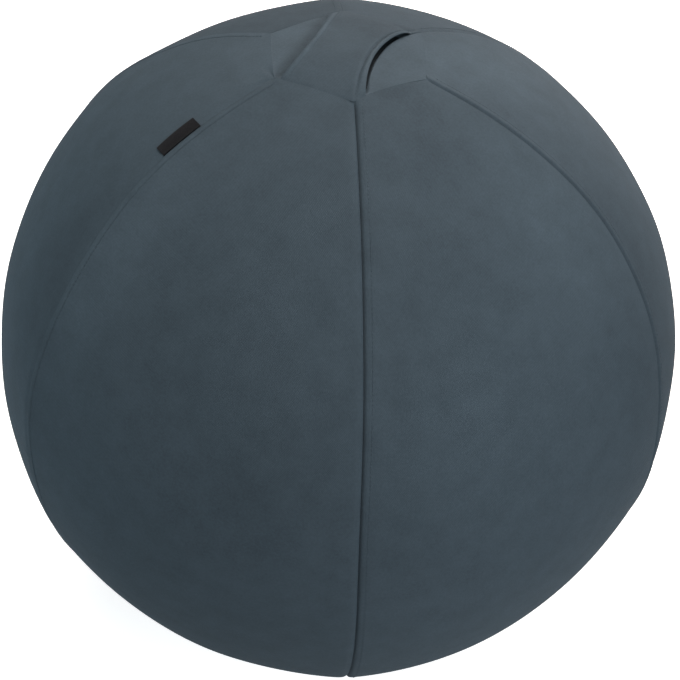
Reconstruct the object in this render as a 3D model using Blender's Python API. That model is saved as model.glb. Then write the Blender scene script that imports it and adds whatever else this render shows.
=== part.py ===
"""Sitting ball: an inflated seat ball in a sewn six-gore cover with a carry strap.

Metres, +Z up. The origin is on the floor under the middle of the ball.
Azimuths run from the front (-Y) towards +X. Polar angles run down from the crown.
The strap runs along Y. The zip is in the back seam at the left.
"""

import math

import bmesh
import bpy
from mathutils import Matrix, Vector

MM = 0.001

# Cover
SEAM_RADIUS = 325 * MM  # ball radius over the sewn ridges
GORE_FLAT = 5.6 * MM  # how far the middle of a gore lies inside the ridges
FOOT_RADIUS = 52 * MM  # the flat that the ball settles on
CAP_CORNER = 74 * MM  # crown hexagon, from the axis to a corner
CROWN_FLAT = 4.0 * MM  # how far the crown lies below a true sphere
CROWN_SPREAD = math.radians(20)  # polar angle over which that fades
FABRIC = 1.2 * MM
SEAM_FOLD = 10 * MM  # seam allowance, folded back inside the cover
FOLD_STEP = 0.8 * MM  # slope at the cut edge of the allowance
SEAM_GAP = 0.36 * MM  # between two sewn edges
CLEAR = 0.3 * MM  # between pieces that lie on each other

# Carry strap over the crown
STRAP_WIDTH = 62 * MM  # at its waist
STRAP_THICK = 3.0 * MM
STRAP_EDGE = 1.4 * MM  # thickness of the turned edges
STRAP_LIFT = 8 * MM  # finger gap under the middle
STRAP_SETBACK = 1.0 * MM  # from the crown seam
GRIP_LENGTH = 52 * MM  # the part that rises with the hand

# Sewn-in tag on the front left seam
TAG_DROP = 73 * MM  # along the seam, from the crown corner
TAG_LENGTH = 38 * MM
TAG_WIDTH = 12.5 * MM
TAG_THICK = 1.0 * MM

# Inflated ball
BALL_GAP = 0.8 * MM  # to the gore middles
BALL_WALL = 1.0 * MM
VALVE_POLAR = math.radians(97)
VALVE_ASIDE = 45 * MM  # from the zip seam
BOSS_RADIUS = 17 * MM
BOSS_DEPTH = 8 * MM
BORE_RADIUS = 5.0 * MM
PLUG_HEAD_RADIUS = 10 * MM
PLUG_HEAD_THICK = 1.2 * MM
PLUG_STEM_RADIUS = 4.2 * MM
PLUG_STEM_LENGTH = 16 * MM
PLUG_RIB = 0.4 * MM

# Sand bag in the base, which keeps the ball from rolling off
BAG_RADIUS = 80 * MM
BAG_TOP = 17 * MM  # above the floor
BAG_CLOTH = 0.8 * MM
BAG_GAP = 0.8 * MM  # to the base panel
BAG_MARGIN = 6 * MM  # from the bag to the seam allowances of the base panel

# Zip
ZIP_POLAR = math.radians(84)  # upper end of the opening
ZIP_LENGTH = 330 * MM
ZIP_SLOT = 11 * MM  # between the gore edges
ZIP_TURN = 3 * MM  # length over which the slot closes at each end
ZIP_ROWS = 21  # cross folds of the cloth along the zip
TAPE_THICK = 0.8 * MM
TAPE_REACH = 15 * MM  # from the middle of the zip
TOOTH_PITCH = 4.0 * MM
TOOTH_TIP = 1.2 * MM  # how far a tooth passes the middle
TOOTH_HEIGHT = 2.4 * MM
TOOTH_TAPER = 0.25 * MM
BEAD_NEAR = 2.0 * MM  # the teeth's rail, from the middle of the zip
BEAD_FAR = 3.4 * MM
STOP_LENGTH = 3.0 * MM
SLIDER_LENGTH = 15 * MM
SLIDER_WALL = 1.1 * MM
SLIDER_PLAY = 0.4 * MM
TAPE_PLAY = 0.35 * MM
WEDGE_LENGTH = 2.6 * MM
WEDGE_WIDTH = 2.2 * MM
BRIDGE_WIDTH = 3.0 * MM
BRIDGE_INSIDE = 2.6 * MM
BRIDGE_SPAN = 8.0 * MM
PULL_THICK = 1.4 * MM
PULL_ARM = 1.4 * MM
PULL_PLAY = 0.5 * MM
PULL_EYE = 7.0 * MM
PULL_LENGTH = 30 * MM
PULL_WIDTH = 8.8 * MM

# Faceting
GORE_SPLITS = 3
SECTOR_SPLITS = 4
ROW_ANGLE = math.pi / 16
TURN_STEPS = 28

SECTOR = math.pi / 3
HALF = SECTOR / 2
# base hexagon, from the axis to a corner: its flats clear the sand bag
BASE_CORNER = (BAG_RADIUS + BAG_MARGIN + SEAM_FOLD + FOLD_STEP) / math.cos(HALF)
FOOT_SINE = FOOT_RADIUS / SEAM_RADIUS
CENTRE = Vector((0, 0, math.sqrt(SEAM_RADIUS**2 - FOOT_RADIUS**2)))
ZIP_AZIMUTH = math.radians(210)
TAG_AZIMUTH = math.radians(-30)

# gores in their order round the ball, from the front towards +X
GORES = ("gore_front", "gore_front_right", "gore_back_right", "gore_back", "gore_back_left", "gore_front_left")
ZIP_ON_RIGHT = "gore_back"
ZIP_ON_LEFT = "gore_back_left"


# Materials and objects


def material(name, colour, roughness, metallic=0.0):
    made = bpy.data.materials.new(name)
    made.use_nodes = True
    shader = made.node_tree.nodes["Principled BSDF"]
    shader.inputs["Base Color"].default_value = (*colour, 1)
    shader.inputs["Roughness"].default_value = roughness
    shader.inputs["Metallic"].default_value = metallic
    return made


def make_mesh(name, points, faces):
    """A mesh with its faces turned outwards."""
    bm = bmesh.new()
    corners = [bm.verts.new(p) for p in points]
    for face in faces:
        bm.faces.new([corners[i] for i in face])
    bmesh.ops.recalc_face_normals(bm, faces=bm.faces[:])
    mesh = bpy.data.meshes.new(name)
    bm.to_mesh(mesh)
    bm.free()
    return mesh


def add(name, mesh, surface, parent=None, smooth=None):
    if not mesh.materials:
        mesh.materials.append(surface)
    made = bpy.data.objects.new(name, mesh)
    bpy.context.scene.collection.objects.link(made)
    made.parent = parent
    if smooth:
        mesh.shade_smooth()
        mesh.set_sharp_from_angle(angle=math.radians(smooth))
    return made


def add_empty(name, matrix):
    made = bpy.data.objects.new(name, None)
    bpy.context.scene.collection.objects.link(made)
    made.matrix_world = matrix
    return made


def add_tool(name, mesh, matrix):
    """A body that only shapes another one."""
    made = bpy.data.objects.new(name, mesh)
    bpy.context.scene.collection.objects.link(made)
    made.matrix_world = matrix
    made.hide_render = True
    made.display_type = "WIRE"
    return made


def combine(made, tool, operation):
    step = made.modifiers.new(tool.name, "BOOLEAN")
    step.object = tool
    step.operation = operation
    step.solver = "EXACT"


# Closed solids from rows of points


def grid_faces(rows, columns, start=0):
    for i in range(rows - 1):
        for k in range(columns - 1):
            a = start + i * columns + k
            yield (a, a + 1, a + columns + 1, a + columns)


def sheet_mesh(name, outer, inner):
    """A sheet with thickness, from two grids of points that face each other."""
    rows = len(outer)
    columns = len(outer[0])
    size = rows * columns
    points = [p for row in outer for p in row] + [p for row in inner for p in row]
    faces = list(grid_faces(rows, columns)) + list(grid_faces(rows, columns, size))
    rim = [k for k in range(columns)]
    rim += [i * columns + columns - 1 for i in range(1, rows)]
    rim += [(rows - 1) * columns + k for k in range(columns - 2, -1, -1)]
    rim += [i * columns for i in range(rows - 2, 0, -1)]
    for a, b in zip(rim, rim[1:] + rim[:1]):
        faces.append((a, b, b + size, a + size))
    return make_mesh(name, points, faces)


def ring_faces(rings, start):
    """Faces between rings of points, where a ring of one point is a tip."""
    at = start
    for near, far in zip(rings, rings[1:]):
        n = max(len(near), len(far))
        next_at = at + len(near)
        for k in range(n):
            j = (k + 1) % n
            if len(near) == 1:
                yield (at, next_at + k, next_at + j)
            elif len(far) == 1:
                yield (at + k, at + j, next_at)
            else:
                yield (at + k, at + j, next_at + j, next_at + k)
        at = next_at


def ring_mesh(name, rings):
    """A closed solid from rings that begin and end in a tip."""
    points = [p for ring in rings for p in ring]
    return make_mesh(name, points, list(ring_faces(rings, 0)))


def turned_mesh(name, profile, steps=TURN_STEPS):
    """A solid turned about Z from (radius, height) points, from tip to tip."""
    rings = []
    for radius, height in profile:
        if radius == 0:
            rings.append([Vector((0, 0, height))])
            continue
        angles = [2 * math.pi * k / steps for k in range(steps)]
        rings.append([Vector((radius * math.cos(a), radius * math.sin(a), height)) for a in angles])
    return ring_mesh(name, rings)


def prism_mesh(name, outline, low, high, hole=None):
    """An outline in the XY plane, raised from low to high, with a hole if one is given."""
    bm = bmesh.new()
    edges = []
    for loop in [outline] + ([hole] if hole else []):
        corners = [bm.verts.new((x, y, low)) for x, y in loop]
        edges += [bm.edges.new(pair) for pair in zip(corners, corners[1:] + corners[:1])]
    bmesh.ops.triangle_fill(bm, edges=edges, use_beauty=True)
    raised = bmesh.ops.extrude_face_region(bm, geom=bm.faces[:])
    moved = [v for v in raised["geom"] if isinstance(v, bmesh.types.BMVert)]
    bmesh.ops.translate(bm, verts=moved, vec=(0, 0, high - low))
    bmesh.ops.recalc_face_normals(bm, faces=bm.faces[:])
    mesh = bpy.data.meshes.new(name)
    bm.to_mesh(mesh)
    bm.free()
    return mesh


# The cover's skin


def ray(polar, azimuth):
    across = math.sin(polar)
    return Vector((across * math.sin(azimuth), -across * math.cos(azimuth), math.cos(polar)))


def skin_radius(polar, share):
    """Radius of the cover. share is 0 in the middle of a gore and 1 on its seams."""
    across = math.sin(polar)
    seam = SEAM_RADIUS - CROWN_FLAT * math.exp(-((polar / CROWN_SPREAD) ** 2))
    if across <= FOOT_SINE:
        return seam
    flat = GORE_FLAT * (across - FOOT_SINE**2 / across)
    return seam - flat * (1 - share**2)


def skin_point(polar, azimuth, share, depth):
    point = CENTRE + ray(polar, azimuth) * (skin_radius(polar, share) - depth)
    point.z = max(point.z, depth)
    return point


def edge_polar(corner, share):
    """Polar angle of a hexagon's straight edge, from the pole that it surrounds."""
    corner_polar = math.asin(corner / SEAM_RADIUS)
    return math.atan2(math.tan(corner_polar) * math.cos(HALF), math.cos(share * HALF))


# Gores


def gore_polar(along, inset, share):
    top = edge_polar(CAP_CORNER, share)
    bottom = math.pi - edge_polar(BASE_CORNER, share)
    return top + (bottom - top) * along + inset / SEAM_RADIUS


def zip_polars():
    end = ZIP_POLAR + ZIP_LENGTH / SEAM_RADIUS
    return [ZIP_POLAR + (end - ZIP_POLAR) * i / ZIP_ROWS for i in range(ZIP_ROWS + 1)]


def gore_rows(zipped):
    """Rows from crown to base as (along, inset, in a seam allowance)."""
    top = edge_polar(CAP_CORNER, 1)
    bottom = math.pi - edge_polar(BASE_CORNER, 1)
    margin = (SEAM_FOLD + FOLD_STEP) / SEAM_RADIUS + ROW_ANGLE / 4
    polars = [k * ROW_ANGLE for k in range(1, 16)]
    polars = [p for p in polars if top + margin < p < bottom - margin]
    if zipped:
        turn = ZIP_TURN / SEAM_RADIUS
        slot = zip_polars()
        slot = [slot[0] - turn] + slot + [slot[-1] + turn]
        polars = [p for p in polars if not slot[0] - ROW_ANGLE / 4 < p < slot[-1] + ROW_ANGLE / 4]
        polars = sorted(polars + slot)
    middle = [((p - top) / (bottom - top), 0, False) for p in polars]
    inset = [(SEAM_GAP / 2, True), (SEAM_FOLD, True), (SEAM_FOLD + FOLD_STEP, False)]
    head = [(0, d, fold) for d, fold in inset]
    foot = [(1, -d, fold) for d, fold in reversed(inset)]
    return head + middle + foot


def gore_shares(half_width, left, right):
    """Places across a gore, with its edges set in by left and right."""
    fold = 1 - SEAM_FOLD / half_width
    flat = 1 - (SEAM_FOLD + FOLD_STEP) / half_width
    steps = range(1 - GORE_SPLITS, GORE_SPLITS)
    inside = [-flat] + [flat * k / GORE_SPLITS for k in steps] + [flat]
    return [left / half_width - 1, -fold] + inside + [fold, 1 - right / half_width]


def in_slot(polar):
    slot = zip_polars()
    small = ZIP_TURN / SEAM_RADIUS / 2
    return slot[0] - small < polar < slot[-1] + small


def gore_mesh(name, zip_left=False, zip_right=False):
    """A gore that faces the front, cut back along the zip if it has one."""
    outer = []
    inner = []
    for along, inset, row_fold in gore_rows(zip_left or zip_right):
        seam = gore_polar(along, inset, 1)
        half_width = SEAM_RADIUS * math.sin(seam) * HALF
        left_slot = zip_left and in_slot(seam)
        right_slot = zip_right and in_slot(seam)
        left = ZIP_SLOT / 2 if left_slot else SEAM_GAP / 2
        right = ZIP_SLOT / 2 if right_slot else SEAM_GAP / 2
        shares = gore_shares(half_width, left, right)
        outer.append([])
        inner.append([])
        for k, share in enumerate(shares):
            fold_left = k < 2 and not left_slot
            fold_right = k > len(shares) - 3 and not right_slot
            layers = 2 if row_fold or fold_left or fold_right else 1
            polar = gore_polar(along, inset, share)
            outer[-1].append(skin_point(polar, share * HALF, share, 0))
            inner[-1].append(skin_point(polar, share * HALF, share, layers * FABRIC))
    return sheet_mesh(name, outer, inner)


def add_gores(cloth):
    plain = gore_mesh("gore")
    for place, name in enumerate(GORES):
        mesh = plain
        if name in (ZIP_ON_LEFT, ZIP_ON_RIGHT):
            mesh = gore_mesh(name, name == ZIP_ON_LEFT, name == ZIP_ON_RIGHT)
        gore = add(name, mesh, cloth, smooth=20)
        gore.rotation_euler.z = place * SECTOR


# Crown and base hexagons


def panel_rings(corner, insets, inner_polars, up):
    """Rings from the pole outwards as lists of (polar, azimuth, share)."""
    rings = []
    for polar in inner_polars:
        rings.append([(polar, k, None) for k in range(6 * SECTOR_SPLITS)])
    for inset in insets:
        rings.append([(inset, k, corner) for k in range(6 * SECTOR_SPLITS)])
    made = []
    for ring in rings:
        places = []
        for value, k, edge in ring:
            share = 2 * (k % SECTOR_SPLITS) / SECTOR_SPLITS - 1
            polar = value if edge is None else edge_polar(edge, share) - value / SEAM_RADIUS
            azimuth = -HALF + k * SECTOR / SECTOR_SPLITS
            places.append((polar if up else math.pi - polar, azimuth, share))
        made.append(places)
    return made


def panel_mesh(name, corner, inner_polars, up):
    insets = [SEAM_FOLD + FOLD_STEP, SEAM_FOLD, SEAM_GAP / 2]
    layers = [1] * (len(inner_polars) + 1) + [2, 2]
    rings = panel_rings(corner, insets, inner_polars, up)
    pole = 0 if up else math.pi
    outer = [[skin_point(pole, 0, 1, 0)]]
    inner = [[skin_point(pole, 0, 1, FABRIC)]]
    for ring, count in zip(rings, layers):
        outer.append([skin_point(p, a, s, 0) for p, a, s in ring])
        inner.append([skin_point(p, a, s, count * FABRIC) for p, a, s in ring])
    return ring_mesh(name, outer + inner[::-1])


def add_panels(cloth):
    half_way = edge_polar(CAP_CORNER, 0) / 2
    add("top_cap", panel_mesh("top_cap", CAP_CORNER, [half_way], True), cloth, smooth=20)
    rings = [math.asin(FOOT_SINE), math.asin(BAG_RADIUS / SEAM_RADIUS)]
    add("base_panel", panel_mesh("base_panel", BASE_CORNER, rings, False), cloth, smooth=20)


# Carry strap

STRAP_REACH = SEAM_RADIUS * math.sin(edge_polar(CAP_CORNER, 0)) - STRAP_SETBACK
STRAP_END_WIDTH = CAP_CORNER - 2 * STRAP_SETBACK


def strap_half_width(y):
    return (STRAP_WIDTH + (STRAP_END_WIDTH - STRAP_WIDTH) * (y / STRAP_REACH) ** 2) / 2


def strap_under(x, y):
    polar = math.asin(math.hypot(x, y) / SEAM_RADIUS)
    crown = CENTRE.z + skin_radius(polar, 1) * math.cos(polar)
    lift = STRAP_LIFT * (1 - abs(y / STRAP_REACH) ** 3)
    return crown + CLEAR + lift


def strap_mesh(name, near, far, rows, origin):
    """A length of the strap between two stations along Y."""
    trim = (STRAP_THICK - STRAP_EDGE) / 2
    turned = STRAP_THICK / 2
    top = []
    under = []
    for i in range(rows + 1):
        y = near + (far - near) * i / rows
        wide = strap_half_width(y)
        places = [-wide, turned - wide, -wide / 2, 0, wide / 2, wide - turned, wide]
        top.append([])
        under.append([])
        for x in places:
            z = strap_under(x, y)
            cut = trim if abs(x) == wide else 0
            top[-1].append(Vector((x, y, z + STRAP_THICK - cut)) - origin)
            under[-1].append(Vector((x, y, z + cut)) - origin)
    return sheet_mesh(name, top, under)


def add_strap(cloth):
    grip_at = Vector((0, 0, strap_under(0, 0)))
    lift = add_empty("strap_lift_axis", Matrix.Translation(grip_at))
    half = GRIP_LENGTH / 2
    grip = strap_mesh("handle_grip", -half, half, 6, grip_at)
    add("handle_grip", grip, cloth, lift, 30)
    here = Vector()
    front = strap_mesh("handle_end_front", -STRAP_REACH, -half - CLEAR, 5, here)
    add("handle_end_front", front, cloth, smooth=30)
    rear = strap_mesh("handle_end_rear", half + CLEAR, STRAP_REACH, 5, here)
    add("handle_end_rear", rear, cloth, smooth=30)


# Tag


def add_tag(surface):
    """A short folded ribbon whose long edge is caught in the front left seam."""
    corner = edge_polar(CAP_CORNER, 1)
    rows = 5
    top = []
    under = []
    for i in range(rows + 1):
        polar = corner + (TAG_DROP + TAG_LENGTH * i / rows) / SEAM_RADIUS
        around = SEAM_RADIUS * math.sin(polar)
        top.append([])
        under.append([])
        for k in range(3):
            aside = (CLEAR + TAG_WIDTH * k / 2) / around
            share = 1 - aside / HALF
            azimuth = TAG_AZIMUTH - aside
            under[-1].append(skin_point(polar, azimuth, share, -CLEAR))
            top[-1].append(skin_point(polar, azimuth, share, -CLEAR - TAG_THICK))
    add("tag", sheet_mesh("tag", top, under), surface)


# Inflated ball and its valve

BALL_RADIUS = SEAM_RADIUS - GORE_FLAT * (1 - FOOT_SINE**2) - FABRIC - BALL_GAP
BALL_FLOOR = BAG_TOP + 2 * CLEAR + BAG_CLOTH


def ball_mesh(name, radius, floor):
    """A sphere that is pressed flat at floor."""
    foot = math.pi - math.acos((CENTRE.z - floor) / radius)
    polars = [k * ROW_ANGLE for k in range(1, 16)]
    polars = [p for p in polars if p < foot - ROW_ANGLE / 4] + [foot]
    rings = [[CENTRE + Vector((0, 0, radius))]]
    for polar in polars:
        turns = range(6 * SECTOR_SPLITS)
        rings.append([CENTRE + ray(polar, k * SECTOR / SECTOR_SPLITS) * radius for k in turns])
    rings.append([Vector((0, 0, floor))])
    return ring_mesh(name, rings)


def valve_frame():
    """At the boss's outer face, with Z pointing out of the ball."""
    aside = VALVE_ASIDE / (SEAM_RADIUS * math.sin(VALVE_POLAR))
    outward = ray(VALVE_POLAR, ZIP_AZIMUTH + aside)
    turn = outward.to_track_quat("Z", "Y").to_matrix().to_4x4()
    return Matrix.Translation(CENTRE + outward * BALL_RADIUS) @ turn


def add_ball(vinyl, plug_surface):
    ball = add("inner_ball", ball_mesh("inner_ball", BALL_RADIUS, BALL_FLOOR), vinyl)
    hollow = ball_mesh("ball_hollow", BALL_RADIUS - BALL_WALL, BALL_FLOOR + BALL_WALL)
    combine(ball, add_tool("ball_hollow", hollow, Matrix()), "DIFFERENCE")
    at = valve_frame()
    boss = turned_mesh("valve_boss", [(0, -BOSS_DEPTH), (BOSS_RADIUS, -BOSS_DEPTH), (BOSS_RADIUS, 0), (0, 0)])
    combine(ball, add_tool("valve_boss", boss, at), "UNION")
    reach = BOSS_DEPTH + BOSS_RADIUS
    bore = turned_mesh("valve_bore", [(0, -reach), (BORE_RADIUS, -reach), (BORE_RADIUS, reach), (0, reach)])
    combine(ball, add_tool("valve_bore", bore, at), "DIFFERENCE")
    plug = add("valve_plug", turned_mesh("valve_plug", plug_profile(), 20), plug_surface, smooth=30)
    plug.matrix_world = at


def plug_profile():
    """A flat head on a stem with two sealing ribs."""
    seat = CLEAR
    profile = [(0, seat + PLUG_HEAD_THICK), (PLUG_HEAD_RADIUS - PLUG_HEAD_THICK / 2, seat + PLUG_HEAD_THICK)]
    profile += [(PLUG_HEAD_RADIUS, seat + PLUG_HEAD_THICK / 2), (PLUG_HEAD_RADIUS, seat)]
    profile += [(PLUG_STEM_RADIUS, seat)]
    for share in (0.25, 0.6):
        at = -share * PLUG_STEM_LENGTH
        profile += [(PLUG_STEM_RADIUS, at + PLUG_RIB), (PLUG_STEM_RADIUS + PLUG_RIB, at)]
        profile += [(PLUG_STEM_RADIUS, at - PLUG_RIB)]
    tip = PLUG_STEM_RADIUS / 2
    profile += [(PLUG_STEM_RADIUS, tip - PLUG_STEM_LENGTH), (tip, -PLUG_STEM_LENGTH), (0, -PLUG_STEM_LENGTH)]
    return profile


# Sand bag


def base_height(radius):
    """Height of the base panel's inner face, where it is highest."""
    polar = math.pi - math.asin(radius / SEAM_RADIUS)
    inside = skin_radius(polar, 0) - FABRIC
    return max(FABRIC, CENTRE.z - math.sqrt(inside**2 - radius**2))


def add_bag(cloth, sand):
    low = base_height(0) + BAG_GAP
    side = base_height(BAG_RADIUS) + BAG_GAP
    foot = min(FOOT_RADIUS, BAG_RADIUS)
    inside = BAG_RADIUS - BAG_CLOTH
    dish = [(0, low), (foot, low), (BAG_RADIUS, side), (BAG_RADIUS, BAG_TOP), (inside, BAG_TOP)]
    dish += [(inside, side + BAG_CLOTH), (foot, low + BAG_CLOTH), (0, low + BAG_CLOTH)]
    add("ballast_bag", turned_mesh("ballast_bag", dish[::-1]), cloth, smooth=30)
    lift = BAG_CLOTH + CLEAR
    heap = [(0, BAG_TOP), (inside - CLEAR, BAG_TOP), (inside - CLEAR, side + lift)]
    heap += [(foot, low + lift), (0, low + lift)]
    add("ballast_sand", turned_mesh("ballast_sand", heap), sand, smooth=30)
    lid = [(0, BAG_TOP + lift), (BAG_RADIUS, BAG_TOP + lift)]
    lid += [(BAG_RADIUS, BAG_TOP + CLEAR), (0, BAG_TOP + CLEAR)]
    add("ballast_lid", turned_mesh("ballast_lid", lid), cloth, smooth=30)


# Zip, in a frame whose X runs across it, Y up along it and Z out of the ball

SLOT_SHARE = 1 - ZIP_SLOT / 2 / (SEAM_RADIUS * HALF)
ZIP_LEVEL = skin_radius(math.pi / 2, SLOT_SHARE) - FABRIC - CLEAR - TAPE_THICK / 2
TAPE_NEAR = BEAD_FAR + CLEAR
TOP_STOP = ZIP_POLAR + (STOP_LENGTH / 2 + CLEAR) / ZIP_LEVEL
SLIDER_POLAR = TOP_STOP + (STOP_LENGTH / 2 + 2 * CLEAR + SLIDER_LENGTH / 2) / ZIP_LEVEL
END_STOP = ZIP_POLAR + (ZIP_LENGTH - STOP_LENGTH / 2 - CLEAR) / ZIP_LEVEL
SLIDER_TURN = END_STOP - SLIDER_POLAR - (STOP_LENGTH / 2 + 2 * CLEAR + SLIDER_LENGTH / 2) / ZIP_LEVEL


def zip_frame(polar):
    outward = ray(polar, ZIP_AZIMUTH)
    across = Vector((math.cos(ZIP_AZIMUTH), math.sin(ZIP_AZIMUTH), 0))
    along = outward.cross(across)
    turn = Matrix((across, along, outward)).transposed().to_4x4()
    return Matrix.Translation(CENTRE) @ turn


def zip_point(polar, aside, height):
    return zip_frame(polar) @ Vector((aside, 0, ZIP_LEVEL + height))


def tape_mesh(name, side):
    """A ribbon under the gore's edge. side is 1 towards higher azimuths."""
    top = []
    under = []
    for polar in zip_polars():
        around = SEAM_RADIUS * math.sin(polar)
        top.append([zip_point(polar, side * TAPE_NEAR, TAPE_THICK / 2)])
        under.append([zip_point(polar, side * TAPE_NEAR, -TAPE_THICK / 2)])
        for aside in (ZIP_SLOT / 2, TAPE_REACH):
            angle = aside / around
            share = 1 - angle / HALF
            azimuth = ZIP_AZIMUTH + side * angle
            depth = FABRIC + CLEAR
            top[-1].append(skin_point(polar, azimuth, share, depth))
            under[-1].append(skin_point(polar, azimuth, share, depth + TAPE_THICK))
    return sheet_mesh(name, top, under)


def teeth_mesh(name, side, phase):
    """A rail with a comb of teeth that pass the middle of the zip."""
    start = SLIDER_POLAR - (SLIDER_LENGTH / 2 - WEDGE_LENGTH - 3 * CLEAR) / ZIP_LEVEL
    end = END_STOP - (STOP_LENGTH / 2 + CLEAR) / ZIP_LEVEL
    pitch = TOOTH_PITCH / ZIP_LEVEL
    count = int((end - start) / pitch)
    wide = pitch / 4 - CLEAR / 2 / ZIP_LEVEL
    taper = TOOTH_TAPER / ZIP_LEVEL
    inner = []
    outer = []
    for k in range(count):
        at = start + pitch * (k + phase)
        inner += [(at - wide, BEAD_NEAR), (at - wide + taper, -TOOTH_TIP)]
        inner += [(at + wide - taper, -TOOTH_TIP), (at + wide, BEAD_NEAR)]
        outer.append((at, BEAD_FAR))
    outer[0] = (inner[0][0], BEAD_FAR)
    outer.append((inner[-1][0], BEAD_FAR))
    flat = inner + outer
    size = len(flat)
    points = [zip_point(p, side * x, TOOTH_HEIGHT / 2) for p, x in flat]
    points += [zip_point(p, side * x, -TOOTH_HEIGHT / 2) for p, x in flat]
    far = len(inner)
    plan = []
    for k in range(count):
        a = 4 * k
        plan += [(a, a + 1, a + 2, a + 3), (a, a + 3, far + k)]
        if k < count - 1:
            plan.append((far + k, a + 3, a + 4, far + k + 1))
        else:
            plan.append((far + k, a + 3, far + k + 1))
    rim = list(range(far)) + list(range(size - 1, far - 1, -1))
    faces = plan + [[i + size for i in face] for face in plan]
    faces += [(a, b, b + size, a + size) for a, b in zip(rim, rim[1:] + rim[:1])]
    return make_mesh(name, points, faces)


def box_outline(x0, x1, y0, y1):
    return [(x0, y0), (x1, y0), (x1, y1), (x0, y1)]


def stop_mesh(name, x0, x1):
    half = STOP_LENGTH / 2
    return prism_mesh(name, box_outline(x0, x1, -half, half), -TOOTH_HEIGHT / 2, TOOTH_HEIGHT / 2)


def chamfered(half_width, half_length, cut):
    w = half_width
    n = half_length
    outline = [(w, cut - n), (w, n - cut), (w - cut, n), (cut - w, n)]
    return outline + [(-w, n - cut), (-w, cut - n), (cut - w, -n), (w - cut, -n)]


CHANNEL = TOOTH_HEIGHT / 2 + SLIDER_PLAY
PLATE_TOP = CHANNEL + SLIDER_WALL
SLIDER_INSIDE = BEAD_FAR + CLEAR
SLIDER_HALF = SLIDER_INSIDE + SLIDER_WALL
PIVOT_HEIGHT = PLATE_TOP + BRIDGE_INSIDE / 2


def slider_half_mesh(name, side):
    """A plate with two low flanges that reach towards the tape."""
    half = SLIDER_LENGTH / 2
    lip = TAPE_THICK / 2 + TAPE_PLAY
    outline = [(-SLIDER_HALF, PLATE_TOP), (-SLIDER_HALF, lip), (-SLIDER_INSIDE, lip), (-SLIDER_INSIDE, CHANNEL)]
    outline += [(-x, z) for x, z in reversed(outline)]
    mesh = prism_mesh(name, [(x, side * z) for x, z in outline], -half, half)
    mesh.transform(Matrix.Rotation(math.pi / 2, 4, "X"))
    return mesh


def bridge_mesh(name):
    """An arch over the plate, seen from the side and raised across the slider."""
    span = BRIDGE_SPAN / 2
    inside = PLATE_TOP + BRIDGE_INSIDE
    top = inside + SLIDER_WALL
    root = PLATE_TOP - SLIDER_WALL / 2
    shoulder = SLIDER_WALL
    outline = [(-span - SLIDER_WALL, root), (-span, root), (-span, inside - shoulder / 2), (shoulder / 2 - span, inside)]
    outline += [(span - shoulder / 2, inside), (span, inside - shoulder / 2), (span, root), (span + SLIDER_WALL, root)]
    outline += [(span + SLIDER_WALL, top - shoulder), (span, top), (-span, top), (-span - SLIDER_WALL, top - shoulder)]
    mesh = prism_mesh(name, outline, -BRIDGE_WIDTH / 2, BRIDGE_WIDTH / 2)
    mesh.transform(Matrix(((0, 0, 1, 0), (1, 0, 0, 0), (0, 1, 0, 0), (0, 0, 0, 1))))
    return mesh


def wedge_mesh(name):
    """The pointed post that parts the teeth, at the slider's upper end."""
    high = SLIDER_LENGTH / 2
    low = high - WEDGE_LENGTH
    half = WEDGE_WIDTH / 2
    outline = [(0, low), (half, low + half), (half, high), (-half, high), (-half, low + half)]
    reach = CHANNEL + SLIDER_WALL / 2
    return prism_mesh(name, outline, -reach, reach)


def pull_mesh(name):
    """A flat tab that hangs from a bar under the bridge."""
    bar = PULL_ARM / 2
    eye = BRIDGE_WIDTH / 2 + PULL_PLAY
    neck = eye + PULL_ARM
    wide = PULL_WIDTH / 2
    foot = -PULL_EYE - PULL_ARM
    outline = [(neck - bar, bar), (bar - neck, bar), (-neck, 0), (-neck, -PULL_EYE), (-wide, foot - PULL_ARM)]
    outline += [(-wide, PULL_ARM - PULL_LENGTH), (PULL_ARM - wide, -PULL_LENGTH)]
    outline += [(wide - PULL_ARM, -PULL_LENGTH), (wide, PULL_ARM - PULL_LENGTH)]
    outline += [(wide, foot - PULL_ARM), (neck, -PULL_EYE), (neck, 0)]
    hole = box_outline(-eye, eye, -PULL_EYE, -bar)
    return prism_mesh(name, outline, -PULL_THICK / 2, PULL_THICK / 2, hole)


def add_slider(metal):
    at = zip_frame(SLIDER_POLAR)
    axis = add_empty("zip_axis", at)
    raise_out = Matrix.Translation((0, 0, ZIP_LEVEL))
    lower = slider_half_mesh("zip_slider", -1)
    lower.transform(raise_out)
    slider = add("zip_slider", lower, metal, axis)
    upper = add_tool("slider_upper", slider_half_mesh("slider_upper", 1), at @ raise_out)
    wedge = add_tool("slider_wedge", wedge_mesh("slider_wedge"), at @ raise_out)
    bridge = add_tool("slider_bridge", bridge_mesh("slider_bridge"), at @ raise_out)
    combine(slider, wedge, "UNION")
    combine(slider, upper, "UNION")
    combine(slider, bridge, "UNION")
    pivot = add_empty("pull_axis", at @ Matrix.Translation((0, 0, ZIP_LEVEL + PIVOT_HEIGHT)))
    add("zip_pull", pull_mesh("zip_pull"), metal, pivot)


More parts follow.
